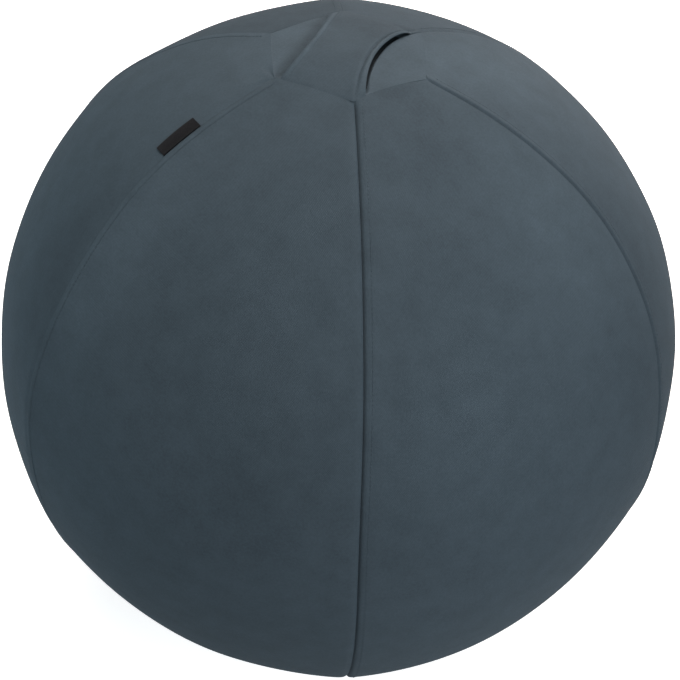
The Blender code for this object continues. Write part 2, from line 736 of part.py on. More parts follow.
def add_zip(cloth, plastic, metal):
    for name, side, phase in (("right", 1, 0.25), ("left", -1, 0.75)):
        add("zip_tape_" + name, tape_mesh("zip_tape_" + name, side), cloth, smooth=20)
        add("zip_teeth_" + name, teeth_mesh("zip_teeth_" + name, side, phase), plastic)
        near, far = sorted((side * CLEAR, side * BEAD_FAR))
        stop = add("zip_top_stop_" + name, stop_mesh("zip_top_stop_" + name, near, far), plastic)
        stop.matrix_world = zip_frame(TOP_STOP) @ Matrix.Translation((0, 0, ZIP_LEVEL))
    end = add("zip_end_stop", stop_mesh("zip_end_stop", -BEAD_FAR, BEAD_FAR), plastic)
    end.matrix_world = zip_frame(END_STOP) @ Matrix.Translation((0, 0, ZIP_LEVEL))
    add_slider(metal)


def build():
    for old in list(bpy.data.objects):
        bpy.data.objects.remove(old, do_unlink=True)
    cloth = material("slate_cloth", (0.055, 0.075, 0.092), 0.92)
    black = material("black_ribbon", (0.012, 0.012, 0.014), 0.8)
    vinyl = material("grey_vinyl", (0.32, 0.34, 0.36), 0.45)
    white = material("white_plug", (0.75, 0.75, 0.74), 0.4)
    lining = material("bag_cloth", (0.03, 0.032, 0.035), 0.9)
    sand = material("sand", (0.52, 0.43, 0.3), 0.95)
    dark = material("zip_plastic", (0.03, 0.036, 0.042), 0.5)
    metal = material("zip_metal", (0.09, 0.095, 0.1), 0.35, 0.9)
    add_gores(cloth)
    add_panels(cloth)
    add_strap(cloth)
    add_tag(black)
    add_ball(vinyl, white)
    add_bag(lining, sand)
    add_zip(lining, dark, metal)
    bpy.context.view_layer.update()


build()
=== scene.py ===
# %% [markdown]
# # A sitting ball in a sewn cloth cover
# An office seat of this kind is an air-filled ball inside a fitted cover. The cover is cut
# from six tapering gores, a hexagon at the crown, a hexagon at the base and a wide carry strap.
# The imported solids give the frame: every piece below lies where its solid lies, in metres.

import bpy
import numpy as np
from mathutils import Matrix, Vector


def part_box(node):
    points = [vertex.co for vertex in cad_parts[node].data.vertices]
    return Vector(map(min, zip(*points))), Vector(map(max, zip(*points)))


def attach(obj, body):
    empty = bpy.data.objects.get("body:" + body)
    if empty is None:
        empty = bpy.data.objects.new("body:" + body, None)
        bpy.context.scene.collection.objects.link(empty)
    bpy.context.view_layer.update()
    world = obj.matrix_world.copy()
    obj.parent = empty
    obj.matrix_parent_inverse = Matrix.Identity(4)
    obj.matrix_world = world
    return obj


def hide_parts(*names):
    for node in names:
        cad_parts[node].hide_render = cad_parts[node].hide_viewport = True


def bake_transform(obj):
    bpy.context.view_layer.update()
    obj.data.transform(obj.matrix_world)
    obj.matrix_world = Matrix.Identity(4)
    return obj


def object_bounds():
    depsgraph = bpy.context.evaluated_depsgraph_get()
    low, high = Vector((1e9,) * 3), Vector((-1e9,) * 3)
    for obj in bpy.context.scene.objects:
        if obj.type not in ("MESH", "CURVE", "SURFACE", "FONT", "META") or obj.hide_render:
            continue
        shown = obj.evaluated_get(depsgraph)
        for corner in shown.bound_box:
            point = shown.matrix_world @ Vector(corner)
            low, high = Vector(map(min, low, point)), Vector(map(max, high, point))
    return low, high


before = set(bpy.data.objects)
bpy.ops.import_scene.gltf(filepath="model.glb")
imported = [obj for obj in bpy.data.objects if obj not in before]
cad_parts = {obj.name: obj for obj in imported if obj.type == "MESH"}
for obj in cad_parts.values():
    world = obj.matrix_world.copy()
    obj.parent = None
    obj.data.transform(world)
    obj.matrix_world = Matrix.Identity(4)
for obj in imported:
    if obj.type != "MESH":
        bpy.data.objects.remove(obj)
cad_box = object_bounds()
print("CAD box", [[round(v, 4) for v in corner] for corner in cad_box])

# %% [markdown]
# ## The form of the cover
# A point of the cover is a distance along a ray from the middle of the ball. A ray has a polar
# angle, measured down from the crown, and an azimuth, measured from the front (-Y) towards +X.
# A sphere alone would look like a beach ball: cloth that is stretched between six seams lies a
# little flatter in the middle of each gore, and the crown settles under its strap.

# %% Sizes of the cover
MM = 0.001
SEAM_RADIUS = (cad_box[1][0] - cad_box[0][0]) / 2
GORE_FLAT = 4.8 * MM
FOOT_RADIUS = 52 * MM
CROWN_FLAT = 4.0 * MM
CROWN_SPREAD = np.radians(20)
CAP_CORNER = 74 * MM
BASE_CORNER = 111.8 * MM
CLOTH = 1.2 * MM
SEAM_GAP = 0.12 * MM
SECTOR = np.pi / 3
HALF = SECTOR / 2
FOOT_SINE = FOOT_RADIUS / SEAM_RADIUS
CENTRE = np.array([0, 0, np.sqrt(SEAM_RADIUS**2 - FOOT_RADIUS**2)])
GORE_PLACES = ("front", "front_right", "back_right", "back", "back_left", "front_left")
GORES = ["gore_" + place for place in GORE_PLACES]
print("ball", round(2 * SEAM_RADIUS, 4), "m across, centre", CENTRE.round(4))


# %% Curves
def bell(value, width):
    """1 at zero, falling as exp of minus the square of value over width."""
    return np.exp(-((value / width) ** 2))


def fade(away, reach):
    """1 at zero, falling by a factor of e over each reach."""
    return np.exp(-away / reach)


def smooth_step(low, high, value):
    """0 below low, 1 above high, with a cubic between them."""
    t = np.clip((value - low) / (high - low), 0, 1)
    return t * t * (3 - 2 * t)


print("half a bell at", round(float(np.sqrt(np.log(2))), 3), "of its width")


# %% The skin
def joined(*parts):
    """Arrays side by side, as the columns of one array; the smaller ones are repeated."""
    return np.stack(np.broadcast_arrays(*parts), -1)


def ray(polar, azimuth):
    """Unit ray: sin(polar) splits into x and -y by the azimuth, cos(polar) is z."""
    across = np.sin(polar)
    return joined(across * np.sin(azimuth), -across * np.cos(azimuth), np.cos(polar))


def on_ball(rays, radius):
    """Points at a radius along rays from the middle of the ball."""
    return CENTRE + rays * radius[..., None]


def skin_radius(polar, share):
    """Sphere, less a bell at the crown, less a parabola across each gore (share is 1 on seams)."""
    across = np.maximum(np.sin(polar), FOOT_SINE)
    seam = SEAM_RADIUS - CROWN_FLAT * bell(polar, CROWN_SPREAD)
    flat = GORE_FLAT * (across - FOOT_SINE**2 / across)
    return seam - flat * (1 - share**2)


def half_width(polar):
    """Half the width of a gore along its arc: the distance from the axis times 30 degrees."""
    return SEAM_RADIUS * np.sin(polar) * HALF


def edge_polar(corner, share):
    """Polar angle of a straight hexagon edge: tan(polar) = tan(corner) cos 30 / cos(share x 30)."""
    corner_polar = np.arcsin(corner / SEAM_RADIUS)
    return np.arctan2(np.tan(corner_polar) * np.cos(HALF), np.cos(share * HALF))


CORNER_POLAR = float(edge_polar(CAP_CORNER, 1.0))
FOOT_POLAR = np.pi - float(edge_polar(BASE_CORNER, 1.0))
print("corners at", round(np.degrees(CORNER_POLAR), 2), "and", round(np.degrees(FOOT_POLAR), 2), "degrees")

# %% [markdown]
# ## How cloth behaves along a seam
# No sewn seam is a perfect meridian. Each one sways by a few millimetres, dips where the two
# cloths turn inwards, stands proud over the folded allowance and puckers where the thread
# gathers it. All of this is a sum of small radial moves, so it can be written as functions of
# the distance to the seam and the way along it. That keeps neighbouring gores in agreement.

# %% Seam sway
# The sways of each seam, from the front right one onwards, as (polar degrees, millimetres) of a bell
SEAM_SWAYS = (
    ((80, -2.0),),
    ((16, -5.5), (50, 6.5), (88, -13.0)),
    ((45, 2.0), (90, -1.5)),
    (),
    ((20, 1.0), (52, 8.0)),
    ((20, 3.0), (58, 6.5), (96, 9.0)),
)
SWAY_WIDTH = np.radians(17)


def seam_shift(seam, polar):
    """Azimuth that a seam moves by: a sum of bells along it, over the distance from the axis."""
    aside = np.zeros_like(polar)
    for degrees, millimetres in SEAM_SWAYS[seam % 6]:
        aside = aside + millimetres * MM * bell(polar - np.radians(degrees), SWAY_WIDTH)
    return aside / (SEAM_RADIUS * np.sin(polar))


def cover_azimuth(place, share, polar):
    """Azimuth across gore number place, swayed with its left and its right seam."""
    left = seam_shift(place - 1, polar) * (1 - share) / 2
    right = seam_shift(place, polar) * (1 + share) / 2
    return place * SECTOR + share * HALF + left + right


print("seam sway up to", max(abs(s[1]) for sways in SEAM_SWAYS for s in sways), "mm")

# %% Rolls beside the seams
# The lip, its reach, the valley and the ridge of the same seams, in millimetres
SEAM_FORMS = (
    (2.5, 2.3, 0.3, 0.0),
    (1.0, 1.0, 0.0, -1.2),
    (0.3, 1.9, 0.5, 0.6),
    (0.2, 1.9, 0.4, 0.6),
    (0.05, 1.9, 0.0, 1.8),
    (0.2, 1.9, 0.8, 3.2),
)
LIP_START = (-1 * MM, 6 * MM)
VALLEY_REACH = 4 * MM
RIDGE_REACH = 22 * MM
RIDGE_POLAR = np.radians(60)
RIDGE_SPREAD = np.radians(36)
# The stitched folds of the same seams, in millimetres
SEAM_FOLDS = (0.50, 0.90, 0.15, 0.10, 0.00, 0.50)
FOLD_RISE = (0.2 * MM, 2.2 * MM)
FOLD_FALL = (2.5 * MM, 10 * MM)
TOPSTITCH = 6.5 * MM
STITCH_DENT = 0.25
STITCH_DENT_REACH = 1.1 * MM


def seam_roll(seam, away, polar):
    """Cloth beside a seam: a lip that starts below the crown, a soft valley, and a long fading ridge."""
    lip, reach, valley, ridge = SEAM_FORMS[seam % 6]
    lip = lip * smooth_step(*LIP_START, (polar - CORNER_POLAR) * SEAM_RADIUS)
    tall = ridge * bell(polar - RIDGE_POLAR, RIDGE_SPREAD) * fade(away, RIDGE_REACH)
    return MM * (tall - lip * fade(away, reach * MM) - valley * bell(away, VALLEY_REACH))


def allowance_rise(seam, away):
    """The folded allowance under the stitched side: a step up and one down, and a dent at the thread."""
    rise = smooth_step(*FOLD_RISE, away) * (1 - smooth_step(*FOLD_FALL, away))
    return SEAM_FOLDS[seam % 6] * MM * (rise - STITCH_DENT * bell(away - TOPSTITCH, STITCH_DENT_REACH))


print("folds up to", max(SEAM_FOLDS), "mm")

# %% Rolls beside the zip and the hexagons
SLOT_STITCH = 3.5 * MM
# Depth and reach of the round at an edge, then those of a bell, and where the bell lies
SLOT_FORM = (0.4 * MM, 0.35 * MM, 0.25 * MM, 0.9 * MM, SLOT_STITCH)
BASE_FORM = (0.2 * MM, 1.0 * MM, 0.75 * MM, 4.5 * MM, 0)
# The valley and the ridge of the crown's edge at each gore, in millimetres
CROWN_FORMS = np.array([(0.0, 0.4), (0.3, 1.6), (0.2, 0.6), (0.0, 0.3), (0.2, 0.9), (0.1, 1.1)])
CROWN_RIDGE_REACH = 14 * MM


def edge_roll(form, away):
    """An edge that is turned in: a small round that fades, and a bell for its stitches or its valley."""
    depth, reach, dent, wide, place = form
    return -depth * fade(away, reach) - dent * bell(away - place, wide)


def crown_roll(place, share, away):
    """The crown's edge: a valley and a ridge, blended with the next gore's towards each corner."""
    own = CROWN_FORMS[place % 6]
    beside = CROWN_FORMS[(place + np.where(share > 0, 1, -1)) % 6]
    forms = own + (beside - own) * smooth_step(0.5, 1.5, np.abs(share))[..., None]
    valley = forms[..., 0] * bell(away, VALLEY_REACH)
    return MM * (forms[..., 1] * fade(away, CROWN_RIDGE_REACH) - valley)


print("crown ridges up to", CROWN_FORMS[:, 1].max(), "mm")

# %% Puckers, gathers and slack
PUCKER_RISE = 0.16 * MM
PUCKER_START = 1.5 * MM
PUCKER_REACH = 9 * MM
PUCKER_BEND = 2.5 * MM
PUCKER_BEND_PITCH = 97 * MM
# Share and pitch of the two waves
PUCKER_WAVES = ((0.6, 14.3 * MM), (0.4, 8.7 * MM))
CROWN_PUCKERS = 1.5
CROWN_PUCKERS_REACH = 30 * MM
GATHER_FOLDS = 9
GATHER_REACH = 6 * MM
GATHER_RISE = 0.5 * MM
GATHER_SIDE = (-3 * MM, 5 * MM)
GATHER_TURN = 1.0
GATHER_CAP = 0.8
SLACK_SEED = 12
SLACK_WAVES = 9
SLACK_RISE = 0.16 * MM
SLACK_LENGTHS = (80 * MM, 240 * MM)
# Where the pumped-up ball swells or sinks: azimuth, polar and spread in degrees, then millimetres
SWELLS = ((115, 70, 22, 2.2), (155, 38, 14, -2.6), (240, 33, 20, -2.8), (283, 56, 9, 1.4))

slack_random = np.random.default_rng(SLACK_SEED)
slack_lengths = slack_random.uniform(*SLACK_LENGTHS, SLACK_WAVES)
slack_axes = slack_random.normal(size=(SLACK_WAVES, 3))
slack_axes *= (2 * np.pi / slack_lengths / np.linalg.norm(slack_axes, axis=1))[:, None]
slack_turns = slack_random.uniform(0, 2 * np.pi, SLACK_WAVES)


def wave(way, pitch, turn):
    """Sine of the way over a pitch, started at a turn."""
    return np.sin(way * 2 * np.pi / pitch + turn)


def puckers(away, along, turn):
    """Small waves across the seam that fade within a finger's width: two sines of uneven pitch."""
    bent = along + PUCKER_BEND * wave(along, PUCKER_BEND_PITCH, turn)
    (one, one_pitch), (two, two_pitch) = PUCKER_WAVES
    waves = one * wave(bent, one_pitch, turn) + two * wave(bent, two_pitch, -turn)
    near_crown = 1 + CROWN_PUCKERS * bell(along - CORNER_POLAR * SEAM_RADIUS, CROWN_PUCKERS_REACH)
    return PUCKER_RISE * near_crown * waves * fade(away, PUCKER_REACH) * (1 - fade(away, PUCKER_START))


def gathers(rays):
    """Small folds that fan out to the left of the strap's front left corner.

    A cosine of the angle round the corner, times a distance that first grows and then fades.
    """
    azimuth = float(seam_shift(5, np.array(CORNER_POLAR))) - HALF
    corner = ray(CORNER_POLAR, azimuth)
    across = np.array([np.cos(azimuth), np.sin(azimuth), 0])
    aside = rays @ across * SEAM_RADIUS
    along = rays @ np.cross(corner, across) * SEAM_RADIUS
    away = np.hypot(aside, along) / GATHER_REACH
    fanned = np.cos(GATHER_FOLDS * np.arctan2(along, aside) + GATHER_TURN)
    beside = 1 - smooth_step(*GATHER_SIDE, aside)
    on_top = rays[..., 2] > GATHER_CAP
    return GATHER_RISE * fanned * beside * away * np.exp(1 - away) * on_top


def slack(rays):
    """Long soft waves in the cloth, as plane waves through the ball, plus the bells of the swells."""
    places = rays * SEAM_RADIUS
    total = np.zeros(rays.shape[:-1])
    for axis, turn in zip(slack_axes, slack_turns):
        total += SLACK_RISE * np.sin(places @ axis + turn)
    for azimuth, polar, spread, millimetres in SWELLS:
        middle = ray(np.radians(polar), np.radians(azimuth))
        angle = np.degrees(np.arccos(np.clip(rays @ middle, -1, 1)))
        total += millimetres * MM * bell(angle, spread)
    return total


print("slack waves", (slack_lengths / MM).round().astype(int).tolist(), "mm long")

# %% [markdown]
# ## From grids to meshes
# A cloth piece is two grids of points, the face and the back, joined round their rim. Working
# on whole arrays keeps this short and quick. UVs are in metres, so that a weave keeps its real
# pitch on every piece. A piece may carry a number at each point that scales its colour: a tone
# that differs across the cloth, and on some pieces painted light and shade.


# %% Faces
def grid_quads(rows, columns, start=0, closed=False):
    """Corner numbers of a grid's quads, first down a row and then across; closed joins the last column."""
    i, k = np.meshgrid(np.arange(rows - 1), np.arange(columns - (not closed)), indexing="ij")
    near = start + i * columns + k
    far = start + i * columns + (k + 1) % columns
    return joined(near, near + columns, far + columns, far).reshape(-1, 4)


def rim_numbers(rows, columns):
    """Corner numbers round the edge of a grid, in order."""
    top = np.arange(columns)
    right = np.arange(1, rows) * columns + columns - 1
    bottom = (rows - 1) * columns + np.arange(columns - 2, -1, -1)
    left = np.arange(rows - 2, 0, -1) * columns
    return np.concatenate([top, right, bottom, left])


def shell_faces(rows, columns):
    """Faces of a face grid, a back grid numbered after it, and the rim between them."""
    size = rows * columns
    rim = rim_numbers(rows, columns)
    after = np.roll(rim, -1)
    edge = joined(rim, after, after + size, rim + size)
    return [grid_quads(rows, columns), grid_quads(rows, columns, size)[:, ::-1], edge]


def fan(tip, start, count, turned=False):
    """Triangles from a tip to a closed ring of corners, numbered from start."""
    near = start + np.arange(count)
    after = np.roll(near, -1)
    return joined(tip, *((after, near) if turned else (near, after)))


print("a grid of 3 by 4 has", len(grid_quads(3, 4)), "quads")

# %% Pieces
SMOOTH_ANGLE = np.radians(60)


def put_piece(name, points, faces, uv, surface, tone_and_shading=None):
    """An object at the origin from points, lists of faces, one UV for each point, and a factor on the colour
    at each point that paints tone, light and shade.
    """
    mesh = bpy.data.meshes.new(name)
    corners = np.concatenate([f.ravel() for f in faces])
    sizes = np.concatenate([np.full(len(f), f.shape[1]) for f in faces])
    mesh.vertices.add(len(points))
    mesh.vertices.foreach_set("co", np.ascontiguousarray(points, dtype=np.float32).ravel())
    mesh.loops.add(len(corners))
    mesh.loops.foreach_set("vertex_index", corners.astype(np.int32))
    mesh.polygons.add(len(sizes))
    mesh.polygons.foreach_set("loop_start", (np.cumsum(sizes) - sizes).astype(np.int32))
    layer = mesh.uv_layers.new(name="UVMap")
    layer.data.foreach_set("uv", np.ascontiguousarray(uv[corners], dtype=np.float32).ravel())
    mesh.update(calc_edges=True)
    mesh.validate()
    mesh.shade_smooth()
    mesh.set_sharp_from_angle(angle=SMOOTH_ANGLE)
    mesh.materials.append(surface)
    if tone_and_shading is not None:
        toned = mesh.attributes.new("tone_and_shading", "FLOAT", "POINT")
        toned.data.foreach_set("value", np.ascontiguousarray(tone_and_shading, dtype=np.float32).ravel())
    piece = bpy.data.objects.new(name, mesh)
    bpy.context.scene.collection.objects.link(piece)
    return piece


def put_sheet(name, face, back, uv, surface, tone_and_shading=None):
    """A closed cloth from a face grid and a back grid of the same shape."""
    rows, columns = face.shape[:2]
    points = np.concatenate([face.reshape(-1, 3), back.reshape(-1, 3)])
    flat = uv.reshape(-1, 2)
    both = None if tone_and_shading is None else np.concatenate([tone_and_shading.ravel(), tone_and_shading.ravel()])
    return put_piece(name, points, shell_faces(rows, columns), np.concatenate([flat, flat]), surface, both)


def settle(piece, nodes=(), bend=None):
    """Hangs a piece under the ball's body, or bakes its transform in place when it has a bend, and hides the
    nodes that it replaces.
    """
    if bend:
        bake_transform(piece)
    else:
        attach(piece, "ball")
    if nodes:
        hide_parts(*nodes)


print("mesh helpers ready")

# %% [markdown]
# ## Finishes
# The cloth is a dense matt furnishing weave in slate grey. Close by, threads cross in a plain
# weave; from a step away a faint mottling is left, and the crown, cut across the nap, looks lighter.
# So the colour comes from two noises on Object coordinates, times a factor at each point that paints
# tone and also light and shade, and the threads are a bump of crossed sines on the UVs.


# %% Node helpers
def add_node(tree, kind, settings=(), inputs=()):
    """A shader node with its own settings; an input is a plain value or another node's output."""
    made = tree.nodes.new("ShaderNode" + kind)
    for name, value in dict(settings).items():
        setattr(made, name, value)
    for name, value in dict(inputs).items():
        if isinstance(value, bpy.types.NodeSocket):
            tree.links.new(value, made.inputs[name])
        else:
            made.inputs[name].default_value = value
    return made


def new_material(name, sockets):
    """A material whose constants sit on its shader's own sockets."""
    made = bpy.data.materials.new(name)
    made.use_nodes = True
    shader = made.node_tree.nodes["Principled BSDF"]
    for socket, value in sockets.items():
        shader.inputs[socket].default_value = value
    return made, made.node_tree, shader


def noise(tree, scale, detail):
    """A noise of that many cells in a metre."""
    place = add_node(tree, "TexCoord")
    values = {"Vector": place.outputs["Object"], "Scale": scale, "Detail": detail, "Roughness": 0.6}
    return add_node(tree, "TexNoise", inputs=values).outputs["Fac"]


def math(tree, operation, one, two=0.0):
    """One operation on one or two values."""
    return add_node(tree, "Math", {"operation": operation}, {0: one, 1: two}).outputs[0]


def line(tree, value, slope, start):
    """A value times a slope, plus a start."""
    return math(tree, "ADD", math(tree, "MULTIPLY", value, slope), start)


def spread(colour, contrast):
    """A darker and a lighter tone of a colour: times 1 less and 1 plus the contrast."""
    return [[c * (1 + way * contrast) for c in colour] for way in (-1, 1)]


def tones(tree, value, dark, light):
    """A ramp from a dark tone, where a noise is low, to a light one."""
    ramp = add_node(tree, "ValToRGB", inputs={"Fac": value})
    for element, position, colour in zip(ramp.color_ramp.elements, (0.3, 0.7), (dark, light)):
        element.position = position
        element.color = (*colour, 1)
    return ramp.outputs["Color"]


def weave(tree, across, along):
    """Crossed threads: the sine of u over one pitch times the sine of v over the other."""
    place = add_node(tree, "TexCoord")
    parts = add_node(tree, "SeparateXYZ", inputs={"Vector": place.outputs["UV"]})
    one = math(tree, "SINE", math(tree, "MULTIPLY", parts.outputs["X"], 2 * np.pi / across))
    two = math(tree, "SINE", math(tree, "MULTIPLY", parts.outputs["Y"], 2 * np.pi / along))
    return math(tree, "MULTIPLY", one, two)


def feed(tree, shader, colour, rough, height, strength, distance):
    """Links a colour, a roughness and the bump of a height into a shader."""
    values = {"Height": height, "Strength": strength, "Distance": distance}
    normal = add_node(tree, "Bump", inputs=values).outputs["Normal"]
    for socket, output in (("Base Color", colour), ("Roughness", rough), ("Normal", normal)):
        tree.links.new(output, shader.inputs[socket])


print("node helpers ready")

# %% Slate cloth
# Cells in a metre, detail and share of the two noises
CLOTH_NOISES = ((45, 3, 0.45), (520, 4, 0.55))
WEAVE_PITCH = 1.5 * MM
MOTTLING = 0.16


def cloth_material(name, colour, pitch, contrast, toned=0.0):
    """Matt cloth: a coarse and a fine noise mixed, times 1 plus the painted tone, light and shade, with a
    woven bump.
    """
    made, tree, shader = new_material(name, {"Specular IOR Level": 0.03})
    parts = []
    for cells, detail, part in CLOTH_NOISES:
        parts.append(math(tree, "MULTIPLY", noise(tree, cells, detail), part))
    mixed = math(tree, "ADD", *parts)
    mottled = tones(tree, mixed, *spread(colour, contrast))
    if toned:
        tone_and_shading = add_node(tree, "Attribute", {"attribute_name": "tone_and_shading"}).outputs["Fac"]
        values = {0: mottled, "Scale": line(tree, tone_and_shading, toned, 1.0)}
        mottled = add_node(tree, "VectorMath", {"operation": "SCALE"}, values).outputs[0]
    threads = math(tree, "ADD", weave(tree, pitch, pitch), noise(tree, 900, 2))
    feed(tree, shader, mottled, line(tree, mixed, 0.2, 0.8), threads, strength=0.28, distance=0.25 * MM)
    return made


SLATE = (0.052, 0.071, 0.087)
# Painted light and shade on the gores, as a factor on the slate, from the front one onwards; the crown is
# cut across the nap
GORE_SHADES = (1.0, 1.01, 1.01, 0.93, 0.85, 1.09)
CROWN_NAP = 1.17


def slate_material(name, nap=1.0, toned=0.0):
    """The slate cloth times a factor: painted light and shade on the gores, the nap on the crown."""
    return cloth_material(name, [c * nap for c in SLATE], WEAVE_PITCH, MOTTLING, toned)


# Lit and shaded copies of the slate, one for each gore
shaded_gore_cloths = [slate_material("slate_cloth_painted_shade_%d" % k, nap, toned=1.0) for k, nap in enumerate(GORE_SHADES)]
crown_cloth = slate_material("crown_cloth", CROWN_NAP, toned=0.2)
base_cloth = slate_material("base_cloth")
strap_cloth = slate_material("strap_cloth", toned=0.18)
print("finishes", len(shaded_gore_cloths), "gores,", crown_cloth.name, base_cloth.name, strap_cloth.name)

# %% [markdown]
# ## Gores
# Each gore is a grid from the crown to the base. Its columns crowd towards the two seams, where
# the cloth rolls under, and its rows crowd towards the hexagons. The two gores at the back left
# part along the zip, so their edges stand back from the seam there.

# %% Gore surface
ZIP_POLAR = np.radians(84)
ZIP_LENGTH = 330 * MM
ZIP_SLOT = 11 * MM
ZIP_END_TURN = 7 * MM
ZIP_END_POLAR = ZIP_POLAR + ZIP_LENGTH / SEAM_RADIUS
ZIP_SEAM = 3
# How the puckers of one seam differ from the next one's, and those of its two sides
SEAM_TURN = 1.7
SIDE_TURN = 0.6


def slot_open(polar):
    """How open the zip's slot is, 0 to 1: a smooth step at each of its ends."""
    turn = ZIP_END_TURN / SEAM_RADIUS
    opens = smooth_step(ZIP_POLAR - turn, ZIP_POLAR + turn / 2, polar)
    return opens * (1 - smooth_step(ZIP_END_POLAR - turn / 2, ZIP_END_POLAR + turn, polar))


def gore_edges(place, polar):
    """For the left and the right edge, its distance from its seam and how open the zip is there."""
    opened = [slot_open(polar) if seam % 6 == ZIP_SEAM else 0 * polar for seam in (place - 1, place)]
    return [(SEAM_GAP / 2 + (ZIP_SLOT - SEAM_GAP) / 2 * share, share) for share in opened]


def gore_points(place, share, polar):
    """Rays and radii of a gore's face: the skin, the rolls, the allowance, puckers, slack and gathers."""
    half = half_width(polar)
    (left_edge, left_open), (right_edge, right_open) = gore_edges(place, polar)
    to_left = np.maximum((share + 1) * half - left_edge, 0)
    to_right = np.maximum((1 - share) * half - right_edge, 0)
    to_crown = np.maximum((polar - edge_polar(CAP_CORNER, share)) * SEAM_RADIUS, 0)
    to_base = np.maximum((np.pi - edge_polar(BASE_CORNER, share) - polar) * SEAM_RADIUS, 0)
    along = polar * SEAM_RADIUS
    left_seam = seam_roll(place - 1, to_left, polar) + allowance_rise(place - 1, to_left)
    left_seam += puckers(to_left, along, SEAM_TURN * place)
    right_seam = seam_roll(place, to_right, polar)
    right_seam += puckers(to_right, along, SEAM_TURN * (place + 1) + SIDE_TURN)
    relief = left_seam * (1 - left_open) + edge_roll(SLOT_FORM, to_left) * left_open
    relief += right_seam * (1 - right_open) + edge_roll(SLOT_FORM, to_right) * right_open
    relief += crown_roll(place, share, to_crown) + edge_roll(BASE_FORM, to_base)
    rays = ray(polar, cover_azimuth(place, share, polar))
    return rays, skin_radius(polar, share) + relief + slack(rays) + gathers(rays)


print("zip from", round(np.degrees(ZIP_POLAR)), "to", round(np.degrees(ZIP_END_POLAR), 1), "degrees")

# %% Gore grid
NEAR_SEAM = np.array([0, 0.3, 0.7, 1.2, 1.8, 2.5, 3.4, 4.5, 5.4, 6.0, 6.5, 7.0, 7.6, 8.6, 10, 12]) * MM
NEAR_PANEL = np.array([0, 0.5, 1.1, 1.8, 2.8, 4.2, 6.2, 9, 12]) * MM
PANEL_GAP = 0.01 * MM
GORE_COLUMNS = 84
GORE_ROWS = 190


def gore_grid(place):
    """Shares and polars of a gore, crowded towards its four edges."""
    middle_rows = np.linspace(0, 1, GORE_ROWS + 2)[1:-1]
    row = np.concatenate([NEAR_PANEL, middle_rows, NEAR_PANEL[::-1]])[:, None]
    number = np.arange(len(row))[:, None]
    is_head = number < len(NEAR_PANEL)
    is_foot = number >= len(row) - len(NEAR_PANEL)
    margin = NEAR_PANEL[-1] / SEAM_RADIUS

    def polar_at(share):
        """Rows at fixed distances from the two hexagons, and evenly spaced between those."""
        top = edge_polar(CAP_CORNER, share) + PANEL_GAP / SEAM_RADIUS
        bottom = np.pi - edge_polar(BASE_CORNER, share) - PANEL_GAP / SEAM_RADIUS
        middle = top + margin + (bottom - top - 2 * margin) * row
        ends = np.where(is_head, top + row / SEAM_RADIUS, bottom - row / SEAM_RADIUS)
        return np.where(is_head | is_foot, ends, middle)

    at_seam = polar_at(1.0)
    half = half_width(at_seam)
    (left_edge, _), (right_edge, _) = gore_edges(place, at_seam)
    left = -1 + (left_edge + NEAR_SEAM) / half
    right = 1 - (right_edge + NEAR_SEAM[::-1]) / half
    t = np.linspace(0, 1, GORE_COLUMNS + 2)[1:-1]
    share = np.concatenate([left, left[:, -1:] + (right[:, :1] - left[:, -1:]) * t, right], axis=1)
    return share, polar_at(share)


print("gore grid", gore_grid(0)[0].shape)

# %% Gores
# Patches painted lighter or darker: beside the seam between the front and the front left gore and just
# under the crown's edges they paint light and shade, elsewhere a tone that differs across the cloth.
# Gore, azimuth, polar and their spreads in degrees, and how much lighter
TONE_AND_SHADE_PATCHES = (
    (0, -23, 47, 7.5, 18, 0.17),
    (0, -4, 54, 14, 10, -0.07),
    (0, 12, 72, 12, 12, -0.08),
    (0, -20, 88, 12, 12, 0.06),
    (1, 60, 12.5, 26, 1.7, -0.09),
    (1, 60, 20, 14, 8, -0.09),
    (1, 77, 41, 12, 16, 0.14),
    (1, 58, 57, 10, 10, 0.04),
    (1, 46, 66, 11, 11, 0.08),
    (1, 83, 70, 8, 15, -0.10),
    (1, 33, 80, 6, 8, -0.07),
    (2, 112, 12, 26, 4, 0.10),
    (2, 120, 21, 20, 10, 0.15),
    (2, 94, 62, 13, 26, -0.15),
    (3, 172, 62, 14, 20, 0.08),
    (4, -113, 70, 12, 24, -0.08),
    (5, -62, 11.5, 24, 2.4, 0.11),
    (5, -33, 56, 9, 20, -0.16),
)


def brushed_nap(place, polar, azimuth):
    """A sum of bells over the azimuth and the polar angle."""
    total = np.zeros_like(polar)
    for gore, turn, fall, wide, tall, lift in TONE_AND_SHADE_PATCHES:
        if gore == place:
            aside = (np.degrees(azimuth) - turn + 180) % 360 - 180
            total += lift * bell(aside, wide) * bell(np.degrees(polar) - fall, tall)
    return total


def make_gore(place):
    """One gore: its face on the skin, and its back a cloth's thickness nearer the middle."""
    share, polar = gore_grid(place)
    rays, radius = gore_points(place, share, polar)
    face = on_ball(rays, radius)
    uv = joined(share * half_width(polar), polar * SEAM_RADIUS)
    # Painted light and shade beside a seam and under the crown's edge, and tone, from the patches
    tone_and_shading = brushed_nap(place, polar, cover_azimuth(place, share, polar))
    back = on_ball(rays, radius - CLOTH)
    piece = put_sheet("cover_" + GORES[place], face, back, uv, shaded_gore_cloths[place], tone_and_shading)
    settle(piece, [GORES[place]])
    return piece


gores = [make_gore(place) for place in range(6)]
print("gores", [len(g.data.polygons) for g in gores])

# %% [markdown]
# ## Plan of the carry strap
# The strap runs over the crown from one edge to the opposite one. It narrows at its waist, and
# its sides flare towards the sewn ends. The crown's cloth is slack there and lies in a shallow
# hollow under the strap, with a soft left side and a sharp lip on the right.

